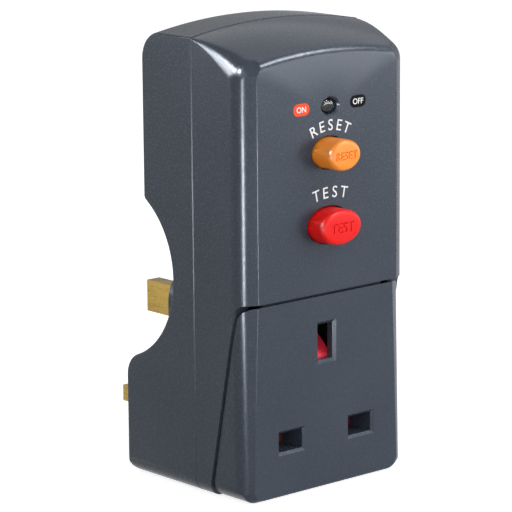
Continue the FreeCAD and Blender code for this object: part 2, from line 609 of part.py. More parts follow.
def build_rear_shell():
    form = prism("rear_form", "YZ_Plane", "0", [
        ("-seam_depth", "-base_drop"), ("0", "-base_drop"), ("0", "recess_height"),
        ("-block_setback", "recess_height"), ("-block_setback", "body_top"), ("-seam_depth", "body_top"),
    ], "body_width", both=True)
    crown_pocket(form, "rear_crown")
    sketch = sketch_on(form, "recess_outline", "YZ_Plane")
    circle(sketch, "recess_offset", "recess_height", "recess_radius")
    recess = form.newObject("PartDesign::Pocket", "recess_pocket")
    recess.Profile = sketch
    recess.Type = "ThroughAll"
    recess.Midplane = True
    setback = -size("block_setback")
    body_round(form, "back_fillet", "back_round",
               lambda edge: close(middle(edge).y, setback) and close(edge.BoundBox.ZMax, top_z, 0.1))
    body_round(form, "heel_fillet", "heel_round",
               lambda edge: close(edge.CenterOfMass.y, 0) and close(edge.CenterOfMass.z, base_z))
    body_round(form, "lip_fillet", "lip_round",
               lambda edge: close(edge.CenterOfMass.y, 0) and edge.CenterOfMass.z > 0
               and close(edge.BoundBox.ZLength, 0, 0.01))
    body_round(form, "brow_lip_fillet", "brow_lip_round",
               lambda edge: close(edge.CenterOfMass.y, setback) and close(edge.BoundBox.ZLength, 0, 0.01)
               and edge.CenterOfMass.z < top_z - size("back_round") * 2)
    body_round(form, "side_fillet", "side_round",
               lambda edge: close(abs(edge.CenterOfMass.x), half_width)
               and edge.BoundBox.YMax > seam_y + 0.01)

    tongue = prism("tongue", "XZ_Plane", "0", [
        ("-tongue_width / 2", "0"), ("tongue_width / 2", "0"),
        ("tongue_width / 2", "tongue_top"), ("-tongue_width / 2", "tongue_top"),
    ], "recess_radius - recess_offset + wall / 2")
    body_round(tongue, "tongue_fillet", "tongue_round",
               lambda edge: close(edge.CenterOfMass.z, size("tongue_top"))
               and close(abs(edge.CenterOfMass.x), size("tongue_width") / 2))

    outline = overlap("rear_outline", [join("rear_form_with_tongue", [form, tongue]), foot])
    doc.recompute()
    solid = bevel_edges("rear_solid", outline, size("seam_bevel"), at_seam)
    lower = box("rear_lower_room", ("-body_width / 2 + wall", "body_width / 2 - wall"),
                ("-seam_depth - wall", "-wall"), ("-base_drop + wall", "recess_height"))
    upper = box("rear_upper_room", ("-body_width / 2 + wall", "body_width / 2 - wall"),
                ("-seam_depth - wall", "-block_setback - wall"),
                ("recess_height - wall", "body_top - crown_rise - wall"))
    drum = rod("recess_backing", "x", "recess_radius + wall", x=("-body_width", "body_width"),
               y="recess_offset", z="recess_height")
    room = cut("rear_room", join("rear_rooms", [lower, upper]), [drum])
    shell = cut("rear_hollow", solid, [room])

    bosses = []
    holes = []
    for side in ("-", ""):
        word = "left" if side else "right"
        for level, out, rise, face in (("low", "screw_out", "-low_screw_drop", "0"),
                                       ("high", "screw_out", "high_screw_rise", "-block_setback")):
            place = {"x": f"{side}{out}", "z": rise}
            bosses.append(rod(f"rear_boss_{level}_{word}", "y", "boss_outer",
                              y=("-seam_depth", f"{face} - wall / 2"), **place))
            holes.append(rod(f"screw_way_{level}_{word}", "y", "screw_radius + screw_gap",
                             y=("-seam_depth - wall", face + " + wall"), **place))
            holes.append(rod(f"screw_sink_{level}_{word}", "y", "screw_head_radius + screw_gap",
                             y=(f"{face} - screw_sink", face + " + wall"), **place))
        for level in ("pillar_low", "pillar_high"):
            bosses.append(rod(f"rear_{level}_{word}", "y", "pillar_radius", x=f"{side}pillar_out", z=level,
                              y=("-base_depth + base_thick", "-block_setback - wall / 2")))
    for level, rise in (("low", "-block_post_low"), ("high", "block_post_high")):
        bosses.append(rod(f"block_post_{level}", "y", "block_post_radius", x="0", z=rise,
                          y=("-block_back", "-wall / 2")))
    for side, word in (("-", "neutral"), ("", "line")):
        holes.append(box(f"{word}_pin_way",
                         (f"{side}pin_spacing / 2 - flat_pin_width / 2", f"{side}pin_spacing / 2 + flat_pin_width / 2"),
                         ("-wall * 2", "wall"), ("-flat_pin_thick / 2", "flat_pin_thick / 2")))
    holes.append(box("earth_pin_way", ("-earth_pin_width / 2", "earth_pin_width / 2"),
                     ("-seam_depth", "wall"),
                     ("earth_rise - earth_pin_tall / 2", "earth_rise + earth_pin_tall / 2")))
    # Bosses stay inside the shell's own outline
    inside = overlap("rear_bosses", [join("rear_boss_stock", bosses), form])
    return node("rear_shell", cut("rear_shell_cut", join("rear_with_bosses", [shell, inside]), holes))


# Front shell: crowned block with a falling brow, a bevelled band round the panel and open below

def front_block(half, base, top, front):
    """Block whose top is a crown swept round the brow's radius."""
    axis_y = -size("brow_start")
    axis_z = top - size("brow_radius")
    wide = half + size("band_face")
    fall = crown_radius - math.sqrt(crown_radius ** 2 - wide ** 2)
    left = Vector(-wide, axis_y, top - fall)
    right = Vector(wide, axis_y, top - fall)
    crown = Part.Wire([
        Part.makeLine(Vector(-wide, axis_y, axis_z), left),
        Part.Arc(left, Vector(0, axis_y, top), right).toShape(),
        Part.makeLine(right, Vector(wide, axis_y, axis_z)),
        Part.makeLine(Vector(wide, axis_y, axis_z), Vector(-wide, axis_y, axis_z)),
    ])
    face = Part.Face(crown)
    brow = face.revolve(Vector(0, axis_y, axis_z), Vector(1, 0, 0), 90)
    ridge = face.extrude(Vector(0, size("brow_start"), 0))
    depth = size("front_depth") * 2
    low = Part.makeBox(2 * wide, depth, axis_z + 1 - base + depth, Vector(-wide, -depth, base - depth))
    face_half = half - size("band_face")
    band_y = front + size("band_side")
    corners = [Vector(x, y, base) for x, y in (
        (-half, seam_y), (-half, band_y), (-face_half, front), (face_half, front), (half, band_y), (half, seam_y))]
    block = Part.Face(Part.makePolygon(corners + corners[:1])).extrude(Vector(0, 0, top - base))
    return block.common(brow.fuse([ridge, low])).removeSplitter()


def outer_block():
    """The block with its ridges, bands and panel edges rounded together."""
    block = front_block(half_width, base_z, top_z, front_y)
    band_y = front_y + size("band_side")
    brow = size("brow_round")
    edges = []
    for number, edge in enumerate(block.Edges, start=1):
        spot = middle(edge)
        outer = close(abs(spot.x), half_width)
        upper = edge.BoundBox.ZMin > size("window_rise")
        if outer and upper and edge.BoundBox.YMax > band_y + 1:
            radii = [size("side_round"), brow]
            if edge.Vertexes[0].Point.y < edge.Vertexes[-1].Point.y:
                radii.reverse()
        elif upper and front_y + 0.1 < spot.y < band_y - 0.1:
            radii = [brow, brow]
        elif outer and close(spot.y, band_y):
            radii = [size("band_round")] * 2
        elif close(spot.y, front_y) and close(spot.x, 0) and upper:
            radii = [size("brow_edge_round")] * 2
        elif close(spot.y, front_y) and edge.BoundBox.ZLength > size("step_height"):
            radii = [size("panel_round")] * 2
        else:
            continue
        edges.append((number, *radii))
    stock = made("front_block_stock", block)
    rounded = doc.addObject("Part::Fillet", "front_block_rounding")
    rounded.Base = stock
    rounded.Edges = edges
    doc.recompute()
    block = rounded.Shape.common(foot.Shape)
    return block.makeChamfer(size("seam_bevel"), [edge for edge in block.Edges if at_seam(edge)])


def side_profile(points, half, rounds):
    """A slab across the width from a YZ outline, with some of its long edges rounded."""
    corners = [Vector(-half, y, z) for y, z in points]
    slab = Part.Face(Part.makePolygon(corners + corners[:1])).extrude(Vector(2 * half, 0, 0))
    for index, radius in rounds:
        y, z = points[index]
        edges = [edge for edge in slab.Edges
                 if close(edge.CenterOfMass.y, y) and close(edge.CenterOfMass.z, z)]
        slab = slab.makeFillet(radius, edges)
    return slab


def parting_line(shift, low, high):
    """Two points of the slanted edge, moved forward by shift, at heights low and high."""
    slope = (size("parting_top") - size("parting_base")) / (size("step_height") - base_z)
    return [(-(size("parting_base") + shift + slope * (z - base_z)), z) for z in (low, high)]


def build_front_shell():
    step = size("step_height")
    inner = front_block(half_width - wall, base_z + wall, top_z - wall, front_y + wall)
    inner = inner.fuse(inner.translated(Vector(0, wall, 0)))
    inner = inner.removeSplitter()
    (low_y, low_z), (high_y, high_z) = parting_line(0, base_z, step)
    away = front_y - size("band_face")
    opening = side_profile(
        [(low_y, low_z), (high_y, high_z), (away, high_z), (away, low_z - wall), (low_y, low_z - wall)],
        half_width + wall, [(1, size("parting_round"))])
    shell = outer_block().cut([inner, opening]).removeSplitter()

    # Lip behind the slanted gap
    reach = size("cover_gap") + size("lip_lap")
    lip_high = step - size("parting_round") * 2
    back = parting_line(-wall, base_z + wall, lip_high)
    edge_line = parting_line(0, base_z + wall, lip_high)
    front = parting_line(reach, base_z + wall, lip_high)
    lips = []
    cover_inner = size("cover_inner") - size("lip_gap")
    lip_in = cover_inner - size("lip_width")
    for side in (-1, 1):
        for rear, fore, outer in ((back, edge_line, half_width - wall / 2), (edge_line, front, cover_inner)):
            points = [rear[0], rear[1], fore[1], fore[0]]
            corners = [Vector(side * lip_in, y, z) for y, z in points]
            face = Part.Face(Part.makePolygon(corners + corners[:1]))
            lips.append(face.extrude(Vector(side * (outer - lip_in), 0, 0)))
    # The lips stop short of the cover's inside, corners included
    inside_y = front_y + size("cover_setback") + size("cover_front_wall") + size("lip_gap")
    clear = Part.makeBox(2 * cover_inner, seam_y - inside_y, step - base_z, Vector(-cover_inner, inside_y, base_z))
    clear = clear.makeFillet(size("cavity_round") - size("lip_gap"), [
        edge for edge in clear.Edges if close(edge.CenterOfMass.y, inside_y) and edge.BoundBox.ZLength > 1])
    behind = side_profile([parting_line(-wall * 2, base_z, step)[0], parting_line(-wall * 2, base_z, step)[1],
                           parting_line(0, base_z, step)[1], parting_line(0, base_z, step)[0]], half_width, [])
    lips = [lip.common(clear.fuse(behind)) for lip in lips]

    # Bosses that the case screws bite in
    bosses = []
    pilots = []
    for side in (-1, 1):
        x = side * size("screw_out")
        z = size("high_screw_rise")
        bosses.append(Part.makeCylinder(size("boss_radius"), seam_y - front_y - wall / 2,
                                        Vector(x, front_y + wall / 2, z), Vector(0, 1, 0)))
        pilots.append((x, z))
        x = side * size("screw_out")
        z = -size("low_screw_drop")
        depth = size("screw_bite") + 0.3
        bosses.append(Part.makeCylinder(size("boss_radius"), depth,
                                        Vector(x, seam_y - depth, z), Vector(0, 1, 0)))
        web = half_width - wall / 2 - abs(x)
        bosses.append(Part.makeBox(web, depth, size("boss_radius"),
                                   Vector(min(x, x + side * web), seam_y - depth, z - size("boss_radius") / 2)))
        pilots.append((x, z))
    shell = shell.fuse(lips + bosses)
    holes = [Part.makeCylinder(size("screw_radius"), size("screw_bite") + wall,
                               Vector(x, seam_y - size("screw_bite"), z), Vector(0, 1, 0)) for x, z in pilots]
    return shell.cut(holes).removeSplitter()


def panel_openings():
    """Button holes and the bevelled window mouth in the upper panel."""
    through = ("-front_depth - wall", "-front_depth + wall * 2")
    gap = "2 * button_gap"
    tools = [
        oval("reset_hole", f"reset_width + {gap}", f"reset_tall + {gap}", "0", "reset_rise", through),
        oval("test_hole", f"test_width + {gap}", f"test_tall + {gap}", "0", "test_rise", through),
        oval("window_hole", "window_width", "window_tall", "window_across", "window_rise", through),
    ]
    return tools


shell_stock = made("front_shell_stock", build_front_shell())
front_cut = cut("front_shell_cut", shell_stock, panel_openings())
doc.recompute()
node("front_shell", bevel_edges(
    "front_shell_bevel", front_cut, size("window_bevel"),
    lambda edge: close(edge.CenterOfMass.y, front_y) and close(edge.CenterOfMass.z, size("window_rise"), 0.1)))
build_rear_shell()
doc.recompute()

# Socket cover: corner bands that narrow towards the base, slanted back edge, hooks on top

def foot_outline(half, y, low, high, radius):
    """An upright outline whose two lower corners are rounded."""
    def at(x, z):
        return Vector(x, y, z)
    bend = radius * (1 - math.sqrt(0.5))
    pieces = [Part.makeLine(at(-half, high), at(-half, low + radius)),
              Part.Arc(at(-half, low + radius), at(bend - half, low + bend), at(radius - half, low)).toShape(),
              Part.makeLine(at(radius - half, low), at(half - radius, low)),
              Part.Arc(at(half - radius, low), at(half - bend, low + bend), at(half, low + radius)).toShape(),
              Part.makeLine(at(half, low + radius), at(half, high)),
              Part.makeLine(at(half, high), at(-half, high))]
    return Part.Wire(pieces)


def build_socket_cover():
    top = size("step_height") - size("cover_top_gap")
    face_y = front_y + size("cover_setback")
    half = half_width - size("cover_inset")
    slope = size("band_side") / size("band_face")
    outlines = []
    for z, band in ((base_z, size("cover_band_base")), (top, size("cover_band_top"))):
        flat = 2 * (half - band)
        points = [(-half, seam_y), (-half, face_y + band * slope), (-flat / 2, face_y),
                  (flat / 2, face_y), (half, face_y + band * slope), (half, seam_y)]
        corners = [Vector(x, y, z) for x, y in points]
        outlines.append(Part.makePolygon(corners + corners[:1]))
    outer = Part.makeLoft(outlines, True, True)
    band_y = face_y + size("band_side")
    outer = outer.makeFillet(size("cover_band_round"), [
        edge for edge in outer.Edges
        if close(abs(middle(edge).x), half) and edge.BoundBox.YMax < band_y + 0.1
        and edge.BoundBox.ZLength > top])
    outer = outer.makeFillet(size("panel_round"), [
        edge for edge in outer.Edges
        if edge.BoundBox.YMax < face_y + 0.05 and edge.BoundBox.ZLength > top and abs(middle(edge).x) > 1])

    (low_y, low_z), (high_y, high_z) = parting_line(size("cover_gap"), base_z, top)
    away = face_y - size("band_face")
    profile = side_profile([(low_y, low_z), (high_y, high_z), (away, high_z), (away, low_z)], half_width,
                           [(0, size("cover_heel")), (1, size("cover_corner"))])
    # Base corners, rounded as seen from the front and tapered to the face like the bands
    taper = size("cover_band_base")
    rings = [foot_outline(half - taper, face_y, base_z + size("cover_foot_bevel"), top,
                          size("cover_foot_round") - taper / 2),
             foot_outline(half, face_y + taper * slope, base_z, top, size("cover_foot_round"))]
    rings.append(rings[1].translated(Vector(0, seam_y - face_y, 0)))
    plate = Part.makeLoft(rings[:2], True, True).fuse(Part.makeLoft(rings[1:], True, True))
    outer = outer.common(profile).common(plate).removeSplitter()

    skin = size("cover_wall")
    hollow = Part.makeBox(2 * (half - skin), -face_y - size("cover_front_wall") + seam_y, top - base_z - 2 * skin,
                          Vector(skin - half, face_y + size("cover_front_wall"), base_z + skin))
    hollow = hollow.makeFillet(size("cavity_round"), [
        edge for edge in hollow.Edges
        if close(edge.CenterOfMass.y, face_y + size("cover_front_wall")) and edge.BoundBox.ZLength > top])
    return outer.cut(hollow).removeSplitter()


COVER_FACE = "(-front_depth + cover_setback)"
COVER_BACK = "(-front_depth + cover_setback + cover_front_wall)"
COVER_TOP = "(step_height - cover_top_gap)"


def socket_cover():
    stock = made("socket_cover_stock", build_socket_cover())
    parts = [stock]
    holes = []
    for side, word in (("-", "neutral"), ("", "line")):
        reach = {"x": [f"{side}pin_spacing / 2 - flat_slot_width / 2", f"{side}pin_spacing / 2 + flat_slot_width / 2"],
                 "z": ["-aperture_drop - flat_slot_tall / 2", "-aperture_drop + flat_slot_tall / 2"]}
        parts.append(box(f"{word}_collar", (reach["x"][0] + " - collar_wall", reach["x"][1] + " + collar_wall"),
                         (f"{COVER_BACK} - cover_front_wall / 2", f"{COVER_FACE} + collar_depth"),
                         (reach["z"][0] + " - collar_wall", reach["z"][1] + " + collar_wall")))
        holes.append(box(f"{word}_slot", reach["x"], (f"{COVER_FACE} - wall", f"{COVER_FACE} + collar_depth + wall"),
                         reach["z"]))
        hooks = [
            box(f"{word}_hook_root", (f"{side}cover_hook_in", f"{side}cover_hook_out") if not side else
                ("-cover_hook_out", "-cover_hook_in"),
                ("-front_depth + wall", "-front_depth + wall + cover_wall"),
                (f"{COVER_TOP} - cover_wall", "step_height + cover_hook_rise")),
        ]
        parts.extend(hooks)
    parts.append(box("cover_rib", ("-cover_rib_width / 2", "cover_rib_width / 2"),
                     ("-front_depth + wall + cover_rib_gap", "-front_depth + wall + cover_rib_gap + cover_rib_thick"),
                     (f"{COVER_TOP} - cover_wall / 2", "step_height + cover_rib_rise")))
    holes.append(box("earth_slot", ("-earth_slot_width / 2", "earth_slot_width / 2"),
                     (f"{COVER_FACE} - wall", f"{COVER_BACK} + wall"),
                     ("-aperture_drop + earth_rise - earth_slot_tall / 2",
                      "-aperture_drop + earth_rise + earth_slot_tall / 2")))
    cover = cut("socket_cover_cut", join("socket_cover_form", parts), holes)
    face = front_y + size("cover_setback")
    return node("socket_cover", bevel_edges(
        "socket_cover_bevel", cover, size("slot_bevel"),
        lambda edge: close(edge.BoundBox.YMin, face, 1e-4) and close(edge.BoundBox.YMax, face, 1e-4)
        and abs(edge.CenterOfMass.x) < size("pin_spacing") * 0.75
        and edge.BoundBox.ZMin > -size("flat_slot_tall") and edge.BoundBox.ZMax < size("step_height") - wall
        and edge.Length < size("earth_slot_tall") + 0.1))


socket_cover()


# Plug pins and their sleeves

def flat_pin(word, side):
    centre = f"{side}pin_spacing / 2"

    def bar(label, low, high, margin):
        return box(f"{word}_{label}",
                   (f"{centre} - flat_pin_width / 2 - {margin}", f"{centre} + flat_pin_width / 2 + {margin}"),
                   (low, high), (f"-flat_pin_thick / 2 - {margin}", f"flat_pin_thick / 2 + {margin}"))

    neck = bar("neck", "0", "sleeve_reach", "(-sleeve_wall)")
    tip = bar("tip", "sleeve_reach", "flat_pin_reach", "0")
    reach = size("flat_pin_reach")
    point = bevel_edges(f"{word}_point", tip, size("pin_point"),
                        lambda edge: close(edge.CenterOfMass.y, reach) and close(edge.BoundBox.YLength, 0, 0.01))
    parts = [bar("root", "-pin_root", "0", "0"), bar("flange", "-wall - pin_flange", "-wall", "pin_flange"),
             neck, point]
    node(f"{word}_pin", join(f"{word}_pin_form", parts))
    sleeve = bar("sleeve_form", "0", "sleeve_reach", "0")
    node(f"{word}_pin_sleeve", cut(f"{word}_sleeve_cut", sleeve, [bar("sleeve_way", "0", "sleeve_reach", "(-sleeve_wall)")]))


flat_pin("neutral", "-")
flat_pin("line", "")
earth_bar = box("earth_bar", ("-earth_pin_width / 2", "earth_pin_width / 2"),
                ("-earth_clip_back", "earth_pin_reach"),
                ("earth_rise - earth_pin_tall / 2", "earth_rise + earth_pin_tall / 2"))
node("earth_pin", bevel_edges("earth_point", earth_bar, size("pin_point"),
                              lambda edge: close(edge.CenterOfMass.y, size("earth_pin_reach"))))


# Case screws: four, driven from the back

def case_screw(word, x, z, face):
    parts = [
        rod(f"shank_{word}", "y", "screw_radius - 0.05", x=x, z=z, y=("-seam_depth - screw_bite", f"{face} - screw_sink")),
        rod(f"head_{word}", "y", "screw_head_radius", x=x, z=z,
            y=(f"{face} - screw_sink", f"{face} - screw_sink + screw_head_depth")),
    ]
    slots = []
    for turn, (wide, tall) in enumerate((("screw_head_radius * 0.65", "screw_slot / 2"),
                                         ("screw_slot / 2", "screw_head_radius * 0.65"))):
        slots.append(box(f"slot_{word}_{turn}", (f"{x} - {wide}", f"{x} + {wide}"),
                         (f"{face} - screw_sink + screw_head_depth / 2", f"{face} - screw_sink + screw_head_depth * 2"),
                         (f"{z} - {tall}", f"{z} + {tall}")))
    return cut(f"case_screw_{word}", join(f"case_screw_form_{word}", parts), slots)


case_screws = []
for side, word in (("-", "left"), ("", "right")):
    case_screws.append(case_screw(f"low_{word}", f"{side}screw_out", "-low_screw_drop", "0"))
    case_screws.append(case_screw(f"high_{word}", f"{side}screw_out", "high_screw_rise", "-block_setback"))
screws = doc.addObject("Part::Compound", "case_screw_set")
screws.Links = case_screws
node("case_screws", screws)


# Indicator window, clear and domed, with a flange behind the panel

PANEL_BACK = "(-front_depth + wall)"
window_plug = oval("window_plug", "window_width - 2 * slide_fit", "window_tall - 2 * slide_fit",
                   "window_across", "window_rise", ("-front_depth + window_sink", f"{PANEL_BACK} + window_flange"))
doc.recompute()
window_dome = round_edges("window_dome", window_plug, size("window_tall") * 0.28,
                          lambda edge: close(edge.CenterOfMass.y, front_y + size("window_sink")))
window_rim = oval("window_rim", "window_width + 2 * window_flange", "window_tall + 2 * window_flange",
                  "window_across", "window_rise", (PANEL_BACK, f"{PANEL_BACK} + window_flange"))
node("indicator_window", join("indicator_window_form", [window_dome, window_rim]))


# Springs: flat-sided coils, closed by a square wire

def coil(name, radius, start, axis, length, turns):
    sides = 12
    steps = int(turns * sides)
    wire = size("spring_wire")
    rest = wire * 0.65
    span = length - 2 * rest
    along = Rotation(Vector(0, 0, 1), axis)

    def spot(step):
        angle = 2 * math.pi * step / sides
        return start + along.multVec(Vector(radius * math.cos(angle), radius * math.sin(angle),
                                            rest + span * step / steps))

    points = [spot(step) for step in range(steps + 1)]
    path = Part.makePolygon(points)
    ahead = (points[1] - points[0]).normalize()
    out = (points[0] - start - axis * rest).normalize()
    over = ahead.cross(out).normalize()
    out = over.cross(ahead).normalize()
    corners = [points[0] + out * (u * wire / 2) + over * (v * wire / 2)
               for u, v in ((-1, -1), (1, -1), (1, 1), (-1, 1))]
    section = Part.makePolygon(corners + corners[:1])
    return node(name, made(name + "_coil", path.makePipeShell([section], True, True, 1)))


BACKWARD = Vector(0, 1, 0)
flange_back = front_y + wall + size("flange_gap") + size("flange_thick")
guide_front = -size("guide_depth")
guide_back = guide_front + size("guide_thick")
carrier_front = guide_back + size("carrier_gap")
carrier_back = carrier_front + size("carrier_thick")
base_front = -size("base_depth")
for name, rise in (("reset_spring", "reset_rise"), ("test_spring", "test_rise")):
    coil(name, size("button_spring_radius"), Vector(0, flange_back, size(rise)), BACKWARD,
         guide_front - flange_back, 3)
coil("carrier_spring", size("carrier_spring_radius"), Vector(0, carrier_back, size("reset_rise")), BACKWARD,
     base_front - carrier_back, 3)


# Buttons with their flanges and stems

FLANGE_FRONT = f"({PANEL_BACK} + flange_gap)"
FLANGE_BACK = f"({PANEL_BACK} + flange_gap + flange_thick)"
GUIDE_BACK = "(-guide_depth + guide_thick)"
CARRIER_FRONT = "(-guide_depth + guide_thick + carrier_gap)"
CARRIER_BACK = "(-guide_depth + guide_thick + carrier_gap + carrier_thick)"


def button(word):
    reach = f"-front_depth - {word}_reach"
    cap = oval(f"{word}_cap", f"{word}_width", f"{word}_tall", "0", f"{word}_rise", (reach, FLANGE_FRONT))
    tip = front_y - size(f"{word}_reach")
    doc.recompute()
    crown = round_edges(f"{word}_crown", cap, size("button_round"), lambda edge: close(edge.CenterOfMass.y, tip))
    flange = oval(f"{word}_flange", f"{word}_width + 2 * flange_margin", f"{word}_tall + 2 * flange_margin",
                  "0", f"{word}_rise", (FLANGE_FRONT, FLANGE_BACK))
    stem = rod(f"{word}_stem", "y", "stem_radius", x="0", z=f"{word}_rise", y=(FLANGE_BACK, CARRIER_FRONT))
    node(f"{word}_button", join(f"{word}_button_form", [crown, flange, stem]))


button("reset")
button("test")


# Button guide behind the panel

guide_plate = box("guide_plate", ("-guide_width / 2", "guide_width / 2"), ("-guide_depth", GUIDE_BACK),
                  ("guide_low", "guide_high"))
guide_ways = [
    rod(f"{word}_way", "y", "stem_radius + slide_fit", x="0", z=f"{word}_rise",
        y=("-guide_depth - wall", f"{GUIDE_BACK} + wall"))
    for word in ("reset", "test")
]
node("button_guide", cut("button_guide_cut", guide_plate, guide_ways))


# Contact carrier with its rails' holes and the prongs that turn the flag

FLAG_HALF = "(reset_travel / 2)"
TIP_Y = f"(-flag_depth - {FLAG_HALF})"
carrier_parts = [
    box("carrier_block", ("-carrier_width / 2", "carrier_width / 2"), (CARRIER_FRONT, CARRIER_BACK),
        ("reset_rise - carrier_tall / 2", "reset_rise + carrier_tall / 2")),
    box("carrier_riser", ("-flag_hub", "flag_hub"), (CARRIER_FRONT, CARRIER_BACK),
        ("reset_rise", "guide_high + prong_gap + prong_thick")),
    box("carrier_link", ("-flag_hub", "flag_hub"),
        (f"{TIP_Y} - flag_tip - prong_gap - prong_thick", CARRIER_BACK),
        ("guide_high + prong_gap", "guide_high + prong_gap + prong_thick")),
    box("front_prong", ("-flag_hub", "flag_hub"),
        (f"{TIP_Y} - flag_tip - prong_gap - prong_thick", f"{TIP_Y} - flag_tip - prong_gap"),
        ("guide_high + prong_gap", "window_rise - flag_arm + flag_tip")),
    box("back_prong", ("-flag_hub", "flag_hub"),
        (f"{TIP_Y} + flag_tip + prong_gap", f"{TIP_Y} + flag_tip + prong_gap + prong_thick"),
        ("guide_high + prong_gap", "window_rise - flag_arm + flag_tip")),
]
rail_ways = [
    rod(f"rail_way_{word}", "y", "rail_radius + slide_fit", x=f"{side}rail_out", z="reset_rise",
        y=(f"{CARRIER_FRONT} - wall", f"{CARRIER_BACK} + wall"))
    for side, word in (("-", "left"), ("", "right"))
]
node("contact_carrier", cut("contact_carrier_cut", join("contact_carrier_form", carrier_parts), rail_ways))

for side, word in (("-", "neutral"), ("", "line")):
    strip = box(f"{word}_bridge", (f"{side}pin_spacing / 2 - bridge_width / 2", f"{side}pin_spacing / 2 + bridge_width / 2"),
                (CARRIER_BACK, f"{CARRIER_BACK} + bridge_thick"),
                ("reset_rise - bridge_tall / 2", "reset_rise + bridge_tall / 2"))
    node(f"{word}_moving_contact", strip)

CONTACT_FACE = f"({CARRIER_BACK} + bridge_thick + reset_travel + contact_rest)"
BASE_BACK = "(-base_depth + base_thick)"
STRIP_BACK = "(-base_depth + base_thick + strip_thick)"


def fixed_contacts(name, rise, tail):
    parts = []
    for side, word in (("-", "neutral"), ("", "line")):
        place = {"x": f"{side}pin_spacing / 2", "z": rise}
        pieces = [
            rod(f"{name}_{word}_head", "y", "contact_radius", y=(CONTACT_FACE, "-base_depth"), **place),
            rod(f"{name}_{word}_shank", "y", "contact_shank", y=("-base_depth", tail), **place),
        ]
        parts.append(join(f"{name}_{word}", pieces))
    pair = doc.addObject("Part::Compound", name + "_pair")
    pair.Links = parts
    node(name, pair)


fixed_contacts("supply_contacts", "reset_rise - contact_step", "-bar_depth - bar_thick")
fixed_contacts("load_contacts", "reset_rise + contact_step", f"{STRIP_BACK} + board_lift / 4")


# Test contact and its terminals

node("test_contact", rod("test_disc", "y", "test_disc_radius", x="0", z="test_rise",
                         y=(CARRIER_FRONT, f"{CARRIER_FRONT} + test_disc_thick")))
test_posts = [
    rod(f"test_post_{word}", "y", "test_post_radius", x=f"{side}test_post_out", z="test_rise",
        y=(f"{CARRIER_FRONT} + test_disc_thick + test_travel + contact_rest", f"{BASE_BACK} + board_lift"))
    for side, word in (("-", "left"), ("", "right"))
]
test_pair = doc.addObject("Part::Compound", "test_terminal_pair")
test_pair.Links = test_posts
node("test_terminals", test_pair)


# Mechanism base: carries the guide, the flag's ears, the lever, the contacts and the board

def mechanism_base():
    parts = [box("base_plate", ("-base_width / 2", "base_width / 2"), ("-base_depth", BASE_BACK),
                 ("base_low", "base_high")),
             box("ring_stop", ("-test_post_radius", "test_post_radius"), ("-base_depth", BASE_BACK),
                 ("ring_top", "base_low + wall"))]
    ways = []
    for side, word in (("-", "left"), ("", "right")):
        for level, rise in (("low", "guide_low + post_margin"), ("high", "guide_high - post_margin")):
            parts.append(rod(f"post_{level}_{word}", "y", "post_radius", x=f"{side}post_out", z=rise,
                             y=(GUIDE_BACK, "-base_depth + base_thick / 2")))
        parts.append(box(f"post_web_{word}", (f"{side}post_out - post_radius / 2", f"{side}post_out + post_radius / 2"),
                         ("-base_depth - post_radius", BASE_BACK), ("guide_low + post_margin", "base_low + wall")))
        parts.append(rod(f"rail_{word}", "y", "rail_radius", x=f"{side}rail_out", z="reset_rise",
                         y=(GUIDE_BACK, "-base_depth + base_thick / 2")))
        ear = ("flag_width / 2 + ear_gap", "flag_width / 2 + ear_gap + ear_thick")
        if side:
            ear = ("-(flag_width / 2 + ear_gap + ear_thick)", "-(flag_width / 2 + ear_gap)")
        parts.append(box(f"ear_{word}", ear, ("-flag_depth - flag_pin_radius * 3", "-base_depth + base_thick / 2"),
                         ("window_rise - ear_tall / 2", "window_rise + ear_tall / 2")))
        for level, rise in (("low", "board_low + pad_margin"), ("high", "board_high - pad_margin")):
            parts.append(rod(f"pad_{level}_{word}", "y", "pad_radius", x=f"{side}(board_width / 2 - pad_margin)",
                             z=rise, y=("-base_depth + base_thick / 2", f"{BASE_BACK} + board_lift")))
        for rise in ("reset_rise - contact_step", "reset_rise + contact_step"):
            ways.append(rod(f"contact_way_{word}_{'low' if '-' in rise else 'high'}", "y", "contact_shank + slide_fit",
                            x=f"{side}pin_spacing / 2", z=rise, y=("-base_depth - wall", f"{BASE_BACK} + wall")))
        ways.append(rod(f"test_way_{word}", "y", "test_post_radius + slide_fit", x=f"{side}test_post_out",
                        z="test_rise", y=("-base_depth - wall", f"{BASE_BACK} + wall")))
    parts.append(rod("lever_shoulder", "y", "lever_pin * 1.7", x="lever_across", z="lever_rise",
                     y=("-coil_depth + lever_thick / 2 + ear_gap", "-base_depth + base_thick / 2")))
    parts.append(rod("lever_post", "y", "lever_pin", x="lever_across", z="lever_rise",
                     y=("-coil_depth - lever_thick / 2 - ear_gap", "-base_depth + base_thick / 2")))
    ways.append(rod("flag_pin_way", "x", "flag_pin_radius + slide_fit", y="-flag_depth", z="window_rise",
                    x=("-base_width / 2", "base_width / 2")))
    node("mechanism_base", cut("mechanism_base_cut", join("mechanism_base_form", parts), ways))


mechanism_base()


# Indicator flag: a part drum with a black and an orange field, turned by an arm in the carrier

def sector(name, radius, half_length, start, sweep):
    """A slice of a bar along X; its angles count upwards from the front."""
    item = doc.addObject("Part::Cylinder", name)
    bind(item, "Radius", radius)
    bind(item, "Height", f"2 * ({half_length})")
    bind(item, "Angle", sweep)
    facing = Rotation(Vector(0, -1, 0), Vector(0, 0, 1), Vector(-1, 0, 0), "ZXY")
    item.Placement = Placement(Vector(), Rotation(Vector(1, 0, 0), -start).multiply(facing))
    bind(item, "Placement.Base.x", half_length)
    bind(item, "Placement.Base.y", "-flag_depth")
    bind(item, "Placement.Base.z", "window_rise")
    return item


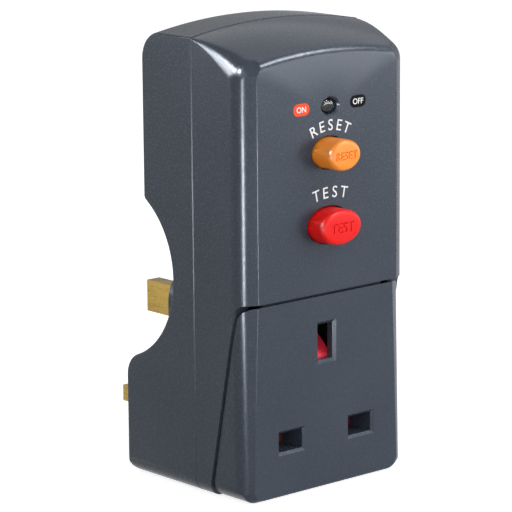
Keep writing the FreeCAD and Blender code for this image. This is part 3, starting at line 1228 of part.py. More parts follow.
def indicator_flag():
    lowest = -size("flag_field") / 2
    swing = math.degrees(math.asin(size("reset_travel") / 2 / size("flag_arm")))
    rim = cut("flag_rim_band", sector("flag_drum", "flag_radius", "flag_width / 2", lowest, "2 * flag_field"), [
        rod("flag_drum_room", "x", "flag_radius - flag_rim", x=("-flag_width", "flag_width"),
            y="-flag_depth", z="window_rise")])
    web = sector("flag_web", "flag_radius - flag_rim / 2", "flag_rim", lowest, "2 * flag_field")
    hub = rod("flag_hub_form", "x", "flag_hub", x=("-flag_width / 2", "flag_width / 2"),
              y="-flag_depth", z="window_rise")
    arm = doc.addObject("Part::Box", "flag_arm_bar")
    bind(arm, "Length", "2 * flag_rim")
    bind(arm, "Width", "2 * flag_tip")
    bind(arm, "Height", "flag_arm")
    tilt = Rotation(Vector(1, 0, 0), -swing)
    centre = Vector(0, -size("flag_depth"), size("window_rise"))
    arm.Placement = Placement(
        centre + tilt.multVec(Vector(-size("flag_rim"), -size("flag_tip"), -size("flag_arm"))), tilt)
    tip_place = centre + tilt.multVec(Vector(-size("flag_rim"), 0, -size("flag_arm")))
    tip = doc.addObject("Part::Cylinder", "flag_arm_tip")
    bind(tip, "Radius", "flag_tip")
    bind(tip, "Height", "2 * flag_rim")
    tip.Placement = Placement(tip_place, TURNS["x"])
    bore = rod("flag_bore", "x", "flag_pin_radius + slide_fit", x=("-flag_width", "flag_width"),
               y="-flag_depth", z="window_rise")
    node("indicator_flag", cut("indicator_flag_cut", join("indicator_flag_form", [rim, web, hub, arm, tip]), [bore]))
    film = sector("flag_film_drum", "flag_radius + flag_film", "flag_width / 2 - flag_tip", lowest + size("flag_field"),
                  "flag_field")
    under = rod("flag_film_room", "x", "flag_radius", x=("-flag_width", "flag_width"),
                y="-flag_depth", z="window_rise")
    node("flag_orange_band", cut("flag_film_band", film, [under]))
    node("flag_pin", rod("flag_pin_bar", "x", "flag_pin_radius",
                         x=("-(flag_width / 2 + ear_gap + ear_thick)", "flag_width / 2 + ear_gap + ear_thick"),
                         y="-flag_depth", z="window_rise"))


indicator_flag()


# Trip solenoid on the mechanism base, its plunger and the lever

COIL = {"y": "-coil_depth", "z": "coil_rise"}
plates = [
    box(f"coil_plate_{word}", span,
        ("-coil_depth - coil_frame_reach", "-base_depth"),
        ("coil_rise - coil_frame_tall / 2", "coil_rise + coil_frame_tall / 2"))
    for word, span in (("left", ("-coil_left", "-coil_left + coil_frame")),
                       ("right", ("coil_right - coil_frame", "coil_right")))
]
plates.append(box("coil_back_plate", ("-coil_left", "coil_right"), ("-base_depth - coil_frame", "-base_depth"),
                  ("coil_rise - coil_frame_tall / 2", "coil_rise + coil_frame_tall / 2")))
plunger_way = rod("plunger_way", "x", "plunger_radius + slide_fit", x=("-coil_left - wall", "coil_right + wall"), **COIL)
node("solenoid_frame", cut("solenoid_frame_cut", join("solenoid_frame_form", plates), [plunger_way]))

bobbin = join("bobbin_form", [
    rod("bobbin_tube", "x", "bobbin_radius", x=("-coil_left + coil_frame", "coil_right - coil_frame"), **COIL),
    rod("bobbin_left", "x", "coil_radius", x=("-coil_left + coil_frame", "-coil_left + coil_frame + bobbin_flange"), **COIL),
    rod("bobbin_right", "x", "coil_radius", x=("coil_right - coil_frame - bobbin_flange", "coil_right - coil_frame"), **COIL),
])
bobbin_way = rod("bobbin_way", "x", "plunger_radius + ear_gap", x=("-coil_left - wall", "coil_right + wall"), **COIL)
node("solenoid_bobbin", cut("solenoid_bobbin_cut", bobbin, [bobbin_way]))
INSIDE = ("-coil_left + coil_frame + bobbin_flange", "coil_right - coil_frame - bobbin_flange")
node("solenoid_coil", cut("solenoid_coil_cut",
                          rod("winding_form", "x", "coil_radius - bobbin_flange / 4", x=INSIDE, **COIL),
                          [rod("winding_room", "x", "bobbin_radius", x=INSIDE, **COIL)]))
node("trip_plunger", join("trip_plunger_form", [
    rod("plunger_bar", "x", "plunger_radius", x=("-plunger_left", "plunger_right - plunger_radius"), **COIL),
    rod("plunger_nose", "x", "plunger_radius / 2", x=("plunger_right - plunger_radius", "plunger_right"), **COIL),
    rod("plunger_stop", "x", "plunger_radius + plunger_collar", x=("-plunger_left", "-plunger_left + plunger_collar"), **COIL),
]))
collar_end = -size("plunger_left") + size("plunger_collar")
coil("plunger_spring", size("plunger_radius") + size("spring_wire"),
     Vector(collar_end, -size("coil_depth"), size("coil_rise")), Vector(1, 0, 0),
     -size("coil_left") - collar_end, 2.5)

LEVER_Y = ("-coil_depth - lever_thick / 2", "-coil_depth + lever_thick / 2")
lever_parts = [
    rod("lever_hub_form", "y", "lever_hub", x="lever_across", z="lever_rise", y=LEVER_Y),
    box("lever_upper", ("plunger_right + lever_gap", "plunger_right + lever_gap + lever_arm_width"), LEVER_Y,
        ("lever_rise", "coil_rise + lever_hub")),
    box("lever_lower", ("lever_across - lever_arm_width / 2", "lever_across + lever_arm_width / 2"), LEVER_Y,
        ("lever_foot", "lever_rise")),
]
lever_bore = rod("lever_bore", "y", "lever_pin + slide_fit", x="lever_across", z="lever_rise",
                 y=("-front_depth", "-base_depth"))
node("trip_lever", cut("trip_lever_cut", join("trip_lever_form", lever_parts), [lever_bore]))


# Current transformer round the load leads

RING = {"x": "0", "y": "-ring_depth"}
node("ring_core", cut("ring_core_cut", rod("ring_form", "z", "ring_outer", z=("ring_low", "ring_low + ring_tall"), **RING),
                      [rod("ring_room", "z", "ring_inner", z=("ring_low - wall", "ring_low + ring_tall + wall"), **RING)]))
sleeve = rod("winding_shell", "z", "ring_outer + winding_thick",
             z=("ring_low - winding_thick", "ring_top"), **RING)
winding_tools = [
    rod("winding_bore", "z", "ring_inner - winding_thick", z=("ring_low - wall", "ring_low + ring_tall + wall"), **RING),
    cut("ring_seat", rod("ring_copy", "z", "ring_outer", z=("ring_low", "ring_low + ring_tall"), **RING),
        [rod("ring_copy_room", "z", "ring_inner", z=("ring_low - wall", "ring_low + ring_tall + wall"), **RING)]),
    box("winding_gap", ("ring_inner", "ring_outer + wall"), ("-ring_depth - winding_split / 2", "-ring_depth + winding_split / 2"),
        ("ring_low - wall", "ring_low + ring_tall + wall")),
]
node("ring_winding", cut("ring_winding_cut", sleeve, winding_tools))


# Socket block with wells, contacts and the ribs that carry the ring core

def well(word, side):
    tall = "flat_pin_thick / 2 + clip_bite + clip_thick + well_margin / 2"
    wide = "(clip_width / 2 + well_margin)"
    middle_x = f"{side}pin_spacing / 2"
    return [
        box(f"{word}_well", (f"{middle_x} - {wide}", f"{middle_x} + {wide}"),
            ("-block_front - wall", "-block_back - well_floor"),
            (f"-aperture_drop - ({tall})", f"-aperture_drop + {tall}")),
        box(f"{word}_tail_way", (f"{middle_x} - tail_width / 2 - slide_fit", f"{middle_x} + tail_width / 2 + slide_fit"),
            ("-block_back - well_floor - wall", "-block_back + wall"),
            ("-aperture_drop - tail_drop - clip_thick / 2 - slide_fit", "-aperture_drop - tail_drop + clip_thick / 2 + slide_fit")),
    ]


LEAF = ("flat_pin_thick / 2 + clip_bite", "flat_pin_thick / 2 + clip_bite + clip_thick")
EARTH_LEAF = ("earth_pin_width / 2 + clip_bite", "earth_pin_width / 2 + clip_bite + clip_thick")
block_parts = [
    box("block_form", ("-block_width / 2", "block_width / 2"), ("-block_front", "-block_back"),
        ("-block_low", "block_high")),
]
for side, word in (("-", "left"), ("", "right")):
    span = ("ring_inner + winding_thick", "ring_outer - winding_thick / 2")
    if side:
        span = ("-(ring_outer - winding_thick / 2)", "-(ring_inner + winding_thick)")
    block_parts.append(box(f"ring_rib_{word}", span, ("-block_front", "-block_front + winding_split"),
                           ("block_high - wall", "ring_low - winding_thick")))
block_tools = well("neutral", "-") + well("line", "")
block_tools.append(box("earth_well", (f"-({EARTH_LEAF[1]})", EARTH_LEAF[1]), ("-block_front - wall", "-block_back + wall"),
                       ("earth_rise - aperture_drop - earth_slot_tall / 2 - slot_bevel / 2",
                        "earth_rise - aperture_drop + earth_slot_tall / 2 + slot_bevel / 2")))
node("socket_block", cut("socket_block_cut", join("socket_block_form", block_parts), block_tools))

CLIP_FRONT = "-block_front + clip_recess"
WELL_FLOOR = "(-block_back - well_floor)"
for side, word in (("-", "neutral"), ("", "line")):
    middle_x = f"{side}pin_spacing / 2"
    span = (f"{middle_x} - clip_width / 2", f"{middle_x} + clip_width / 2")
    node(f"{word}_contact", join(f"{word}_contact_form", [
        box(f"{word}_clip_base", span, (f"{WELL_FLOOR} - clip_thick", WELL_FLOOR),
            (f"-aperture_drop - tail_drop - clip_thick / 2", f"-aperture_drop + {LEAF[1]}")),
        box(f"{word}_clip_low", span, (CLIP_FRONT, WELL_FLOOR), (f"-aperture_drop - ({LEAF[1]})", f"-aperture_drop - ({LEAF[0]})")),
        box(f"{word}_clip_high", span, (CLIP_FRONT, WELL_FLOOR), (f"-aperture_drop + {LEAF[0]}", f"-aperture_drop + {LEAF[1]}")),
        box(f"{word}_tail", (f"{middle_x} - tail_width / 2", f"{middle_x} + tail_width / 2"),
            (f"{WELL_FLOOR} - clip_thick", "-tail_back"),
            ("-aperture_drop - tail_drop - clip_thick / 2", "-aperture_drop - tail_drop + clip_thick / 2")),
    ]))

EARTH_Z = ("earth_rise - aperture_drop - earth_clip_tall / 2", "earth_rise - aperture_drop + earth_clip_tall / 2")
node("earth_contact", join("earth_contact_form", [
    box("earth_clip_base", (f"-({EARTH_LEAF[1]})", EARTH_LEAF[1]), ("-earth_clip_back - clip_thick", "-earth_clip_back"), EARTH_Z),
    box("earth_clip_left", (f"-({EARTH_LEAF[1]})", f"-({EARTH_LEAF[0]})"), (CLIP_FRONT, "-earth_clip_back"), EARTH_Z),
    box("earth_clip_right", (EARTH_LEAF[0], EARTH_LEAF[1]), (CLIP_FRONT, "-earth_clip_back"), EARTH_Z),
]))


# Shutter: a plate across both flat apertures and a sloped nose behind the earth aperture

SHUTTER_FRONT = f"({COVER_FACE} + collar_depth + shutter_gap)"
SHUTTER_BACK = "(-block_front - shutter_gap)"
SHUTTER_LOW = "-aperture_drop - flat_slot_tall / 2 - shutter_lap"
SHUTTER_HIGH = "-aperture_drop + flat_slot_tall / 2 + shutter_lap"
NOSE = f"({COVER_BACK} + shutter_nose_gap)"
column = prism("shutter_column_form", "YZ_Plane", "0", [
    (SHUTTER_BACK, SHUTTER_LOW), (SHUTTER_BACK, "shutter_nose_top"),
    (f"{SHUTTER_FRONT} + shutter_nose_gap", "shutter_nose_top"), (NOSE, "shutter_nose_low"),
    (NOSE, "shutter_nose_low - shutter_nose_round"), (SHUTTER_FRONT, "shutter_nose_low - shutter_nose_round * 3"),
    (SHUTTER_FRONT, SHUTTER_LOW),
], "shutter_column", both=True)
shutter_plate = box("shutter_plate", ("-shutter_span / 2", "shutter_span / 2"), (SHUTTER_FRONT, SHUTTER_BACK),
                    (SHUTTER_LOW, SHUTTER_HIGH))
shutter_foot = box("shutter_foot", ("-shutter_spring_radius * 1.3", "shutter_spring_radius * 1.3"),
                   (f"{SHUTTER_FRONT} - shutter_spring_radius - spring_wire * 2", SHUTTER_BACK),
                   (SHUTTER_LOW, f"{SHUTTER_LOW} + shutter_lap"))
node("shutter", join("shutter_form", [column, shutter_plate, shutter_foot]))
shutter_low = -size("aperture_drop") - size("flat_slot_tall") / 2 - size("shutter_lap")
cover_floor = base_z + size("cover_wall")
shutter_front = front_y + size("cover_setback") + size("collar_depth") + size("shutter_gap")
spring_y = shutter_front - size("spring_wire") - size("shutter_gap")
coil("shutter_spring", size("shutter_spring_radius"), Vector(0, spring_y, cover_floor), Vector(0, 0, 1),
     shutter_low - cover_floor, 4)


# Current path: bars from the pins, strips and leads to the socket

for side, word in (("-", "neutral"), ("", "line")):
    span = (f"{side}pin_spacing / 2 - bar_width / 2", f"{side}pin_spacing / 2 + bar_width / 2")
    node(f"{word}_supply_bar", join(f"{word}_bar_form", [
        box(f"{word}_bar_foot", span, ("-bar_depth - bar_thick", "-pin_root"), ("-bar_thick / 2", "bar_thick / 2")),
        box(f"{word}_bar_rise", span, ("-bar_depth - bar_thick", "-bar_depth"),
            ("-bar_thick / 2", "reset_rise - contact_step + contact_radius")),
    ]))
    low, high = "strip_across - strip_width / 2", "strip_across + strip_width / 2"
    end = "pin_spacing / 2 + strip_width / 2"
    if side:
        low, high, end = f"-({high})", f"-({low})", f"-({end})"
    across = (low, end) if not side else (end, high)
    strip = join(f"{word}_strip_form", [
        box(f"{word}_strip_rise", (low, high), (BASE_BACK, STRIP_BACK),
            ("strip_low", "reset_rise + contact_step + strip_width / 2")),
        box(f"{word}_strip_top", across, (BASE_BACK, STRIP_BACK),
            ("reset_rise + contact_step - strip_width / 2", "reset_rise + contact_step + strip_width / 2")),
    ])
    eye = rod(f"{word}_strip_eye", "y", "contact_shank + slide_fit", x=f"{side}pin_spacing / 2",
              z="reset_rise + contact_step", y=("-base_depth", f"{STRIP_BACK} + wall"))
    node(f"{word}_load_strip", cut(f"{word}_strip_cut", strip, [eye]))


def load_lead(word, side):
    radius = size("lead_radius")
    strip_x = side * size("strip_across")
    ring_x = side * size("ring_across")
    strip_y = base_front + size("base_thick") + size("strip_thick") + radius
    ring_y = -size("ring_depth")
    above = size("ring_top") + (size("lead_room") + radius) / 4
    below = size("block_high") + size("ring_lift") / 2
    drop_y = -size("bar_depth") - size("strip_thick")
    tail_z = -size("aperture_drop") - size("tail_drop")
    tail_x = side * (size("pin_spacing") / 2 - size("tail_width") / 2)
    points = [
        Vector(strip_x, strip_y, size("base_low") + wall),
        Vector(strip_x, strip_y, above),
        Vector(ring_x, ring_y, above),
        Vector(ring_x, ring_y, below),
        Vector(strip_x, drop_y, below),
        Vector(strip_x, drop_y, tail_z),
        Vector(tail_x, drop_y, tail_z),
    ]
    path = Part.makePolygon(points)
    corners = [points[0] + Vector(radius * math.cos(math.radians(45 * turn + 22.5)),
                                  radius * math.sin(math.radians(45 * turn + 22.5)), 0) for turn in range(8)]
    section = Part.makePolygon(corners + corners[:1])
    return node(f"{word}_load_lead", made(f"{word}_lead", path.makePipeShell([section], True, True, 1)))


load_lead("neutral", -1)
load_lead("line", 1)


# Circuit board and what stands on it

BOARD_FRONT = f"({BASE_BACK} + board_lift)"
BOARD_BACK = f"({BASE_BACK} + board_lift + board_thick)"
node("circuit_board", box("board_form", ("-board_width / 2", "board_width / 2"), (BOARD_FRONT, BOARD_BACK),
                          ("board_low", "board_high")))
node("capacitor", rod("capacitor_can", "y", "capacitor_radius", x="capacitor_across", z="capacitor_rise",
                      y=(BOARD_BACK, f"{BOARD_BACK} + capacitor_length")))
VARISTOR_Y = f"{BOARD_BACK} + varistor_radius + board_thick / 4"
varistor_parts = [rod("varistor_disc", "x", "varistor_radius", x=("varistor_across", "varistor_across + varistor_thick"),
                      y=VARISTOR_Y, z="varistor_rise")]
for word, shift in (("low", "-varistor_radius / 2"), ("high", "varistor_radius / 2")):
    varistor_parts.append(rod(f"varistor_leg_{word}", "y", "spring_wire", x="varistor_across + varistor_thick / 2",
                              z=f"varistor_rise + {shift}", y=(BOARD_BACK, VARISTOR_Y)))
node("varistor", join("varistor_form", varistor_parts))
chip_parts = [box("chip_case", ("-chip_width / 2", "chip_width / 2"),
                  (f"{BOARD_BACK} + board_thick / 4", f"{BOARD_BACK} + chip_thick"),
                  ("chip_rise - chip_tall / 2", "chip_rise + chip_tall / 2"))]
for index in range(4):
    across = f"chip_width * {(index - 1.5) / 4}"
    chip_parts.append(box(f"chip_legs_{index}", (f"{across} - spring_wire / 2", f"{across} + spring_wire / 2"),
                          (BOARD_BACK, f"{BOARD_BACK} + chip_thick / 2"),
                          ("chip_rise - chip_tall / 2 - spring_wire", "chip_rise + chip_tall / 2 + spring_wire")))
node("control_chip", join("control_chip_form", chip_parts))
RESISTOR = {"x": "resistor_across", "y": f"{BOARD_BACK} + resistor_radius + board_thick / 4"}
resistor_parts = [rod("resistor_body", "z", "resistor_radius", z=("resistor_rise", "resistor_rise + resistor_length"), **RESISTOR)]
for word, rise in (("low", "resistor_rise - spring_wire"), ("high", "resistor_rise + resistor_length + spring_wire")):
    resistor_parts.append(box(f"resistor_leg_{word}", ("resistor_across - spring_wire / 2", "resistor_across + spring_wire / 2"),
                              (BOARD_BACK, RESISTOR["y"]), (f"{rise} - spring_wire", f"{rise} + spring_wire")))
node("test_resistor", join("test_resistor_form", resistor_parts))


# Every sub-part is checked before it goes out

doc.recompute()
for item in doc.Objects:
    if "Invalid" in item.State or "Error" in item.State:
        raise RuntimeError(f"{item.Name} did not build")
for name, item in NODES.items():
    shape = item.Shape
    if shape.isNull() or not shape.isValid() or not shape.Solids:
        raise RuntimeError(f"{name} has no sound solid")
    shape.exportStep(os.path.join("parts", name + ".step"))
print(len(NODES), "sub-parts written")
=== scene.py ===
import json
import math

import bmesh
import bpy
from mathutils import Matrix, Vector


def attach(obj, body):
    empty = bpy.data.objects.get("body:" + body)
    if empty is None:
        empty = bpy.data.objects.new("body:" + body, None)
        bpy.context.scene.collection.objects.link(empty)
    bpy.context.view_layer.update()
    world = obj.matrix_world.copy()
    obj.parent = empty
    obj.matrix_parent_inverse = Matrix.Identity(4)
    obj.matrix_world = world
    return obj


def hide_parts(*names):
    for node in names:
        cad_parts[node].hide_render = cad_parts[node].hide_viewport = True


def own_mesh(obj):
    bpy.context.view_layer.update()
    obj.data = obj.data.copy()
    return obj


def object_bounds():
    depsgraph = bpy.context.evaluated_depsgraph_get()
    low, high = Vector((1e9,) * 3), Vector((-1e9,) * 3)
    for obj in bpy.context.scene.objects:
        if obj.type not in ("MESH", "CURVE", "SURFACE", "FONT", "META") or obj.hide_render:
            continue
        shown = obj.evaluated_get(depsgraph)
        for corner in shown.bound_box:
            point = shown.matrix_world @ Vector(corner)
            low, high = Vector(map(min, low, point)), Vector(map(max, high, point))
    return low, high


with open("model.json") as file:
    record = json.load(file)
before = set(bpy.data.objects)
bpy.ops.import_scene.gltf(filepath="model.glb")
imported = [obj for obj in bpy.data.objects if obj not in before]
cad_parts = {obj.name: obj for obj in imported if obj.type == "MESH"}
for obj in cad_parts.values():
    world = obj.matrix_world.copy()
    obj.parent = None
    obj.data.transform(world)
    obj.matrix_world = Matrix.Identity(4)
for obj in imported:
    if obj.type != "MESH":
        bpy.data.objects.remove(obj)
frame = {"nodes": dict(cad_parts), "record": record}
cadLow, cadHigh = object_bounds()
scene = bpy.context.scene
mm = 0.001
white = (1.0, 1.0, 1.0, 1.0)
upward = Vector((0.0, 0.0, 1.0))


# Material helpers; a noise scale counts features in a metre, and depths are in metres

def emptyMaterial(name):
    material = bpy.data.materials.new(name)
    material.use_nodes = True
    tree = material.node_tree
    tree.nodes.clear()
    output = addNode(tree, "ShaderNodeOutputMaterial")
    return material, tree, output


def newMaterial(name):
    material, tree, output = emptyMaterial(name)
    shader = addNode(tree, "ShaderNodeBsdfPrincipled")
    tree.links.new(shader.outputs["BSDF"], output.inputs["Surface"])
    return material, tree, shader


def addNode(tree, kind, **settings):
    node = tree.nodes.new(kind)
    for key, value in settings.items():
        if key in node.inputs:
            node.inputs[key].default_value = value
        else:
            setattr(node, key, value)
    return node


# Noise on Object coordinates that every finish shares, with its own scale, detail and stretch

def buildGrainGroup():
    group = bpy.data.node_groups.new("surface grain", "ShaderNodeTree")
    inputs = {"Scale": "NodeSocketFloat", "Detail": "NodeSocketFloat", "Stretch": "NodeSocketVector"}
    for name, kind in inputs.items():
        group.interface.new_socket(name=name, in_out="INPUT", socket_type=kind)
    group.interface.new_socket(name="Grain", in_out="OUTPUT", socket_type="NodeSocketFloat")
    values = addNode(group, "NodeGroupInput")
    result = addNode(group, "NodeGroupOutput")
    coords = addNode(group, "ShaderNodeTexCoord")
    mapping = addNode(group, "ShaderNodeMapping")
    noise = addNode(group, "ShaderNodeTexNoise")
    group.links.new(coords.outputs["Object"], mapping.inputs["Vector"])
    group.links.new(values.outputs["Stretch"], mapping.inputs["Scale"])
    group.links.new(mapping.outputs["Vector"], noise.inputs["Vector"])
    group.links.new(values.outputs["Scale"], noise.inputs["Scale"])
    group.links.new(values.outputs["Detail"], noise.inputs["Detail"])
    group.links.new(noise.outputs["Fac"], result.inputs["Grain"])
    return group


grainGroup = buildGrainGroup()


def objectNoise(tree, scale, detail, stretch=(1.0, 1.0, 1.0)):
    grain = addNode(tree, "ShaderNodeGroup", node_tree=grainGroup)
    grain.inputs["Scale"].default_value = scale
    grain.inputs["Detail"].default_value = detail
    grain.inputs["Stretch"].default_value = stretch
    return grain.outputs["Grain"]


noiseRange = {"low": 0.3, "high": 0.7}  # where nearly all of the noise lies


def remap(tree, value, low, high, fromLow=noiseRange["low"], fromHigh=noiseRange["high"]):
    node = addNode(tree, "ShaderNodeMapRange")
    node.inputs["From Min"].default_value = fromLow
    node.inputs["From Max"].default_value = fromHigh
    node.inputs["To Min"].default_value = low
    node.inputs["To Max"].default_value = high
    tree.links.new(value, node.inputs["Value"])
    return node.outputs["Result"]


def mixColours(tree, factor, first, second):
    mix = addNode(tree, "ShaderNodeMix", data_type="RGBA")
    mix.inputs[6].default_value = (*first, 1.0)  # sockets A, B and Result of a colour mix
    mix.inputs[7].default_value = (*second, 1.0)
    tree.links.new(factor, mix.inputs[0])
    return mix.outputs[2]


def bumpOn(tree, shader, height, strength, distance):
    bump = addNode(tree, "ShaderNodeBump", Strength=strength, Distance=distance)
    tree.links.new(height, bump.inputs["Height"])
    tree.links.new(bump.outputs["Normal"], shader.inputs["Normal"])


# Moulded plastic: two close colours in soft clouds, and a fine fleck in the gloss and the grain

plasticSurface = {"cloudScale": 45.0, "cloudDetail": 4.0, "fleckDetail": 2.0, "bumpStrength": 0.55,
                  "smoother": 0.05, "rougher": 0.07}
softInside = {"radius": (1.0, 0.35, 0.12), "scale": 0.0012}


def mouldedPlastic(name, colour, shade, roughness, grain=1400.0, grainDepth=0.00004, specular=0.5,
                   subsurface=0.0, tint=(1.0, 1.0, 1.0)):
    material, tree, shader = newMaterial(name)
    cloud = objectNoise(tree, plasticSurface["cloudScale"], plasticSurface["cloudDetail"])
    fleck = objectNoise(tree, grain, plasticSurface["fleckDetail"])
    base = mixColours(tree, remap(tree, cloud, 0.0, 1.0), colour, shade)
    tree.links.new(base, shader.inputs["Base Color"])
    smoothest = roughness - plasticSurface["smoother"]
    roughest = roughness + plasticSurface["rougher"]
    tree.links.new(remap(tree, fleck, smoothest, roughest), shader.inputs["Roughness"])
    bumpOn(tree, shader, fleck, plasticSurface["bumpStrength"], grainDepth)
    shader.inputs["Specular IOR Level"].default_value = specular
    shader.inputs["Specular Tint"].default_value = (*tint, 1.0)
    if subsurface:
        shader.inputs["Subsurface Weight"].default_value = subsurface
        shader.inputs["Subsurface Radius"].default_value = softInside["radius"]
        shader.inputs["Subsurface Scale"].default_value = softInside["scale"]
    return material


# Painted shade: the shutter's red is darkened low down, where the cover shades it, and is bright red above

shutterSurface = {"low": 0.006, "high": 0.016, "paintedShade": (0.12, 0.002, 0.004), "bright": (0.95, 0.03, 0.065),
                  "grain": 900.0, "fleckDetail": 2.0, "smoothest": 0.32, "roughest": 0.42,
                  "bumpStrength": 0.55, "grainDepth": 0.00002}


def shutterPlastic(name, surface):
    material, tree, shader = newMaterial(name)
    coords = addNode(tree, "ShaderNodeTexCoord")
    split = addNode(tree, "ShaderNodeSeparateXYZ")
    tree.links.new(coords.outputs["Object"], split.inputs["Vector"])
    # painted shade: the red darkens towards the bottom, in the cover's shadow
    lift = remap(tree, split.outputs["Z"], 0.0, 1.0, surface["low"], surface["high"])
    tree.links.new(mixColours(tree, lift, surface["paintedShade"], surface["bright"]), shader.inputs["Base Color"])
    fleck = objectNoise(tree, surface["grain"], surface["fleckDetail"])
    tree.links.new(remap(tree, fleck, surface["smoothest"], surface["roughest"]), shader.inputs["Roughness"])
    bumpOn(tree, shader, fleck, surface["bumpStrength"], surface["grainDepth"])
    return material


# Metal: fine streaks in the gloss; stretch sets how closely they lie along x, y and z

metalSurface = {"streakScale": 3.0, "streakDetail": 5.0, "cloudScale": 160.0, "cloudDetail": 3.0,
                "smoother": 0.03, "rougher": 0.05, "bumpStrength": 0.12, "streakDepth": 0.00001}


def turnedMetal(name, colour, shade, roughness, stretch=(40.0, 40.0, 900.0)):
    material, tree, shader = newMaterial(name)
    streak = objectNoise(tree, metalSurface["streakScale"], metalSurface["streakDetail"], stretch)
    cloud = objectNoise(tree, metalSurface["cloudScale"], metalSurface["cloudDetail"])
    base = mixColours(tree, remap(tree, cloud, 0.0, 1.0), colour, shade)
    tree.links.new(base, shader.inputs["Base Color"])
    smoothest = roughness - metalSurface["smoother"]
    roughest = roughness + metalSurface["rougher"]
    tree.links.new(remap(tree, streak, smoothest, roughest), shader.inputs["Roughness"])
    shader.inputs["Metallic"].default_value = 1.0
    bumpOn(tree, shader, streak, metalSurface["bumpStrength"], metalSurface["streakDepth"])
    return material


# Ink and film: a fine speck in the colour and the gloss

inkSurface = {"speckScale": 2600.0, "speckDetail": 2.0, "smoothest": 0.42, "roughest": 0.6,
              "bumpStrength": 0.3, "speckDepth": 0.00002}


def printedInk(name, colour, shade, specular=0.5):
    material, tree, shader = newMaterial(name)
    speck = objectNoise(tree, inkSurface["speckScale"], inkSurface["speckDetail"])
    base = mixColours(tree, remap(tree, speck, 0.0, 1.0), colour, shade)
    tree.links.new(base, shader.inputs["Base Color"])
    gloss = remap(tree, speck, inkSurface["smoothest"], inkSurface["roughest"])
    tree.links.new(gloss, shader.inputs["Roughness"])
    bumpOn(tree, shader, speck, inkSurface["bumpStrength"], inkSurface["speckDepth"])
    shader.inputs["Specular IOR Level"].default_value = specular
    return material


# The window bends light very little, so that the flag behind it stays clear, and its coat gives the shine

windowSurface = {"colour": (0.74, 0.75, 0.77), "bend": 1.07, "coat": 1.0, "coatRoughness": 0.05,
                 "rippleScale": 600.0, "rippleDetail": 2.0, "smoothest": 0.02, "roughest": 0.04,
                 "bumpStrength": 0.01, "rippleDepth": 0.000001}


def clearPlastic(name, surface):
    material, tree, shader = newMaterial(name)
    ripple = objectNoise(tree, surface["rippleScale"], surface["rippleDetail"])
    shader.inputs["Base Color"].default_value = (*surface["colour"], 1.0)
    shader.inputs["Transmission Weight"].default_value = 1.0
    shader.inputs["IOR"].default_value = surface["bend"]
    shader.inputs["Coat Weight"].default_value = surface["coat"]
    shader.inputs["Coat Roughness"].default_value = surface["coatRoughness"]
    gloss = remap(tree, ripple, surface["smoothest"], surface["roughest"])
    tree.links.new(gloss, shader.inputs["Roughness"])
    bumpOn(tree, shader, ripple, surface["bumpStrength"], surface["rippleDepth"])
    return material


# One finish for each material slot; colour and shade are the two colours that its clouds or specks mix

plastics = {
    "casing": {"name": "casing plastic", "colour": (0.034, 0.044, 0.061), "shade": (0.042, 0.052, 0.070),
               "roughness": 0.24, "grain": 2200.0, "grainDepth": 0.00002, "specular": 0.26,
               "tint": (0.82, 0.89, 1.0)},
    "moulded_black": {"name": "black plastic", "colour": (0.012, 0.012, 0.013), "shade": (0.02, 0.02, 0.022),
                      "roughness": 0.42, "grainDepth": 0.00001, "specular": 0.3},
    "moulded_natural": {"name": "natural plastic", "colour": (0.55, 0.52, 0.44), "shade": (0.62, 0.60, 0.52),
                        "roughness": 0.5},
    "reset_orange": {"name": "orange plastic", "colour": (0.94, 0.25, 0.012), "shade": (0.97, 0.30, 0.02),
                     "roughness": 0.34, "grain": 900.0, "grainDepth": 0.00002, "specular": 0.3,
                     "subsurface": 0.2},
    "test_red": {"name": "red plastic", "colour": (0.80, 0.005, 0.004), "shade": (0.86, 0.008, 0.006),
                 "roughness": 0.34, "grain": 900.0, "grainDepth": 0.00002, "specular": 0.15,
                 "subsurface": 0.12},
    "ferrite": {"name": "ferrite", "colour": (0.035, 0.035, 0.038), "shade": (0.05, 0.05, 0.055),
                "roughness": 0.6},
    "board_green": {"name": "board resist", "colour": (0.012, 0.09, 0.04), "shade": (0.02, 0.12, 0.05),
                    "roughness": 0.3},
    "varistor_blue": {"name": "dipped coating", "colour": (0.02, 0.08, 0.28), "shade": (0.03, 0.1, 0.34),
                      "roughness": 0.35},
    "lead_sheath": {"name": "wire sheath", "colour": (0.16, 0.05, 0.02), "shade": (0.2, 0.07, 0.03),
                    "roughness": 0.42},
}
metals = {
    "brass": {"name": "brass", "colour": (0.34, 0.235, 0.062), "shade": (0.29, 0.195, 0.05),
              "roughness": 0.28},
    "steel": {"name": "steel", "colour": (0.62, 0.62, 0.64), "shade": (0.52, 0.52, 0.54), "roughness": 0.3},
    "winding": {"name": "enamelled copper", "colour": (0.62, 0.24, 0.09), "shade": (0.5, 0.17, 0.06),
                "roughness": 0.3, "stretch": (900.0, 60.0, 60.0)},
}
flagFilm = {"name": "orange film", "colour": (0.85, 0.22, 0.03), "shade": (0.9, 0.27, 0.05)}

materials = {slot: mouldedPlastic(**finish) for slot, finish in plastics.items()}
materials.update({slot: turnedMetal(**finish) for slot, finish in metals.items()})
materials["shutter_red"] = shutterPlastic("shutter plastic with painted shade", shutterSurface)
materials["window_clear"] = clearPlastic("clear plastic", windowSurface)
materials["flag_orange"] = printedInk(**flagFilm)
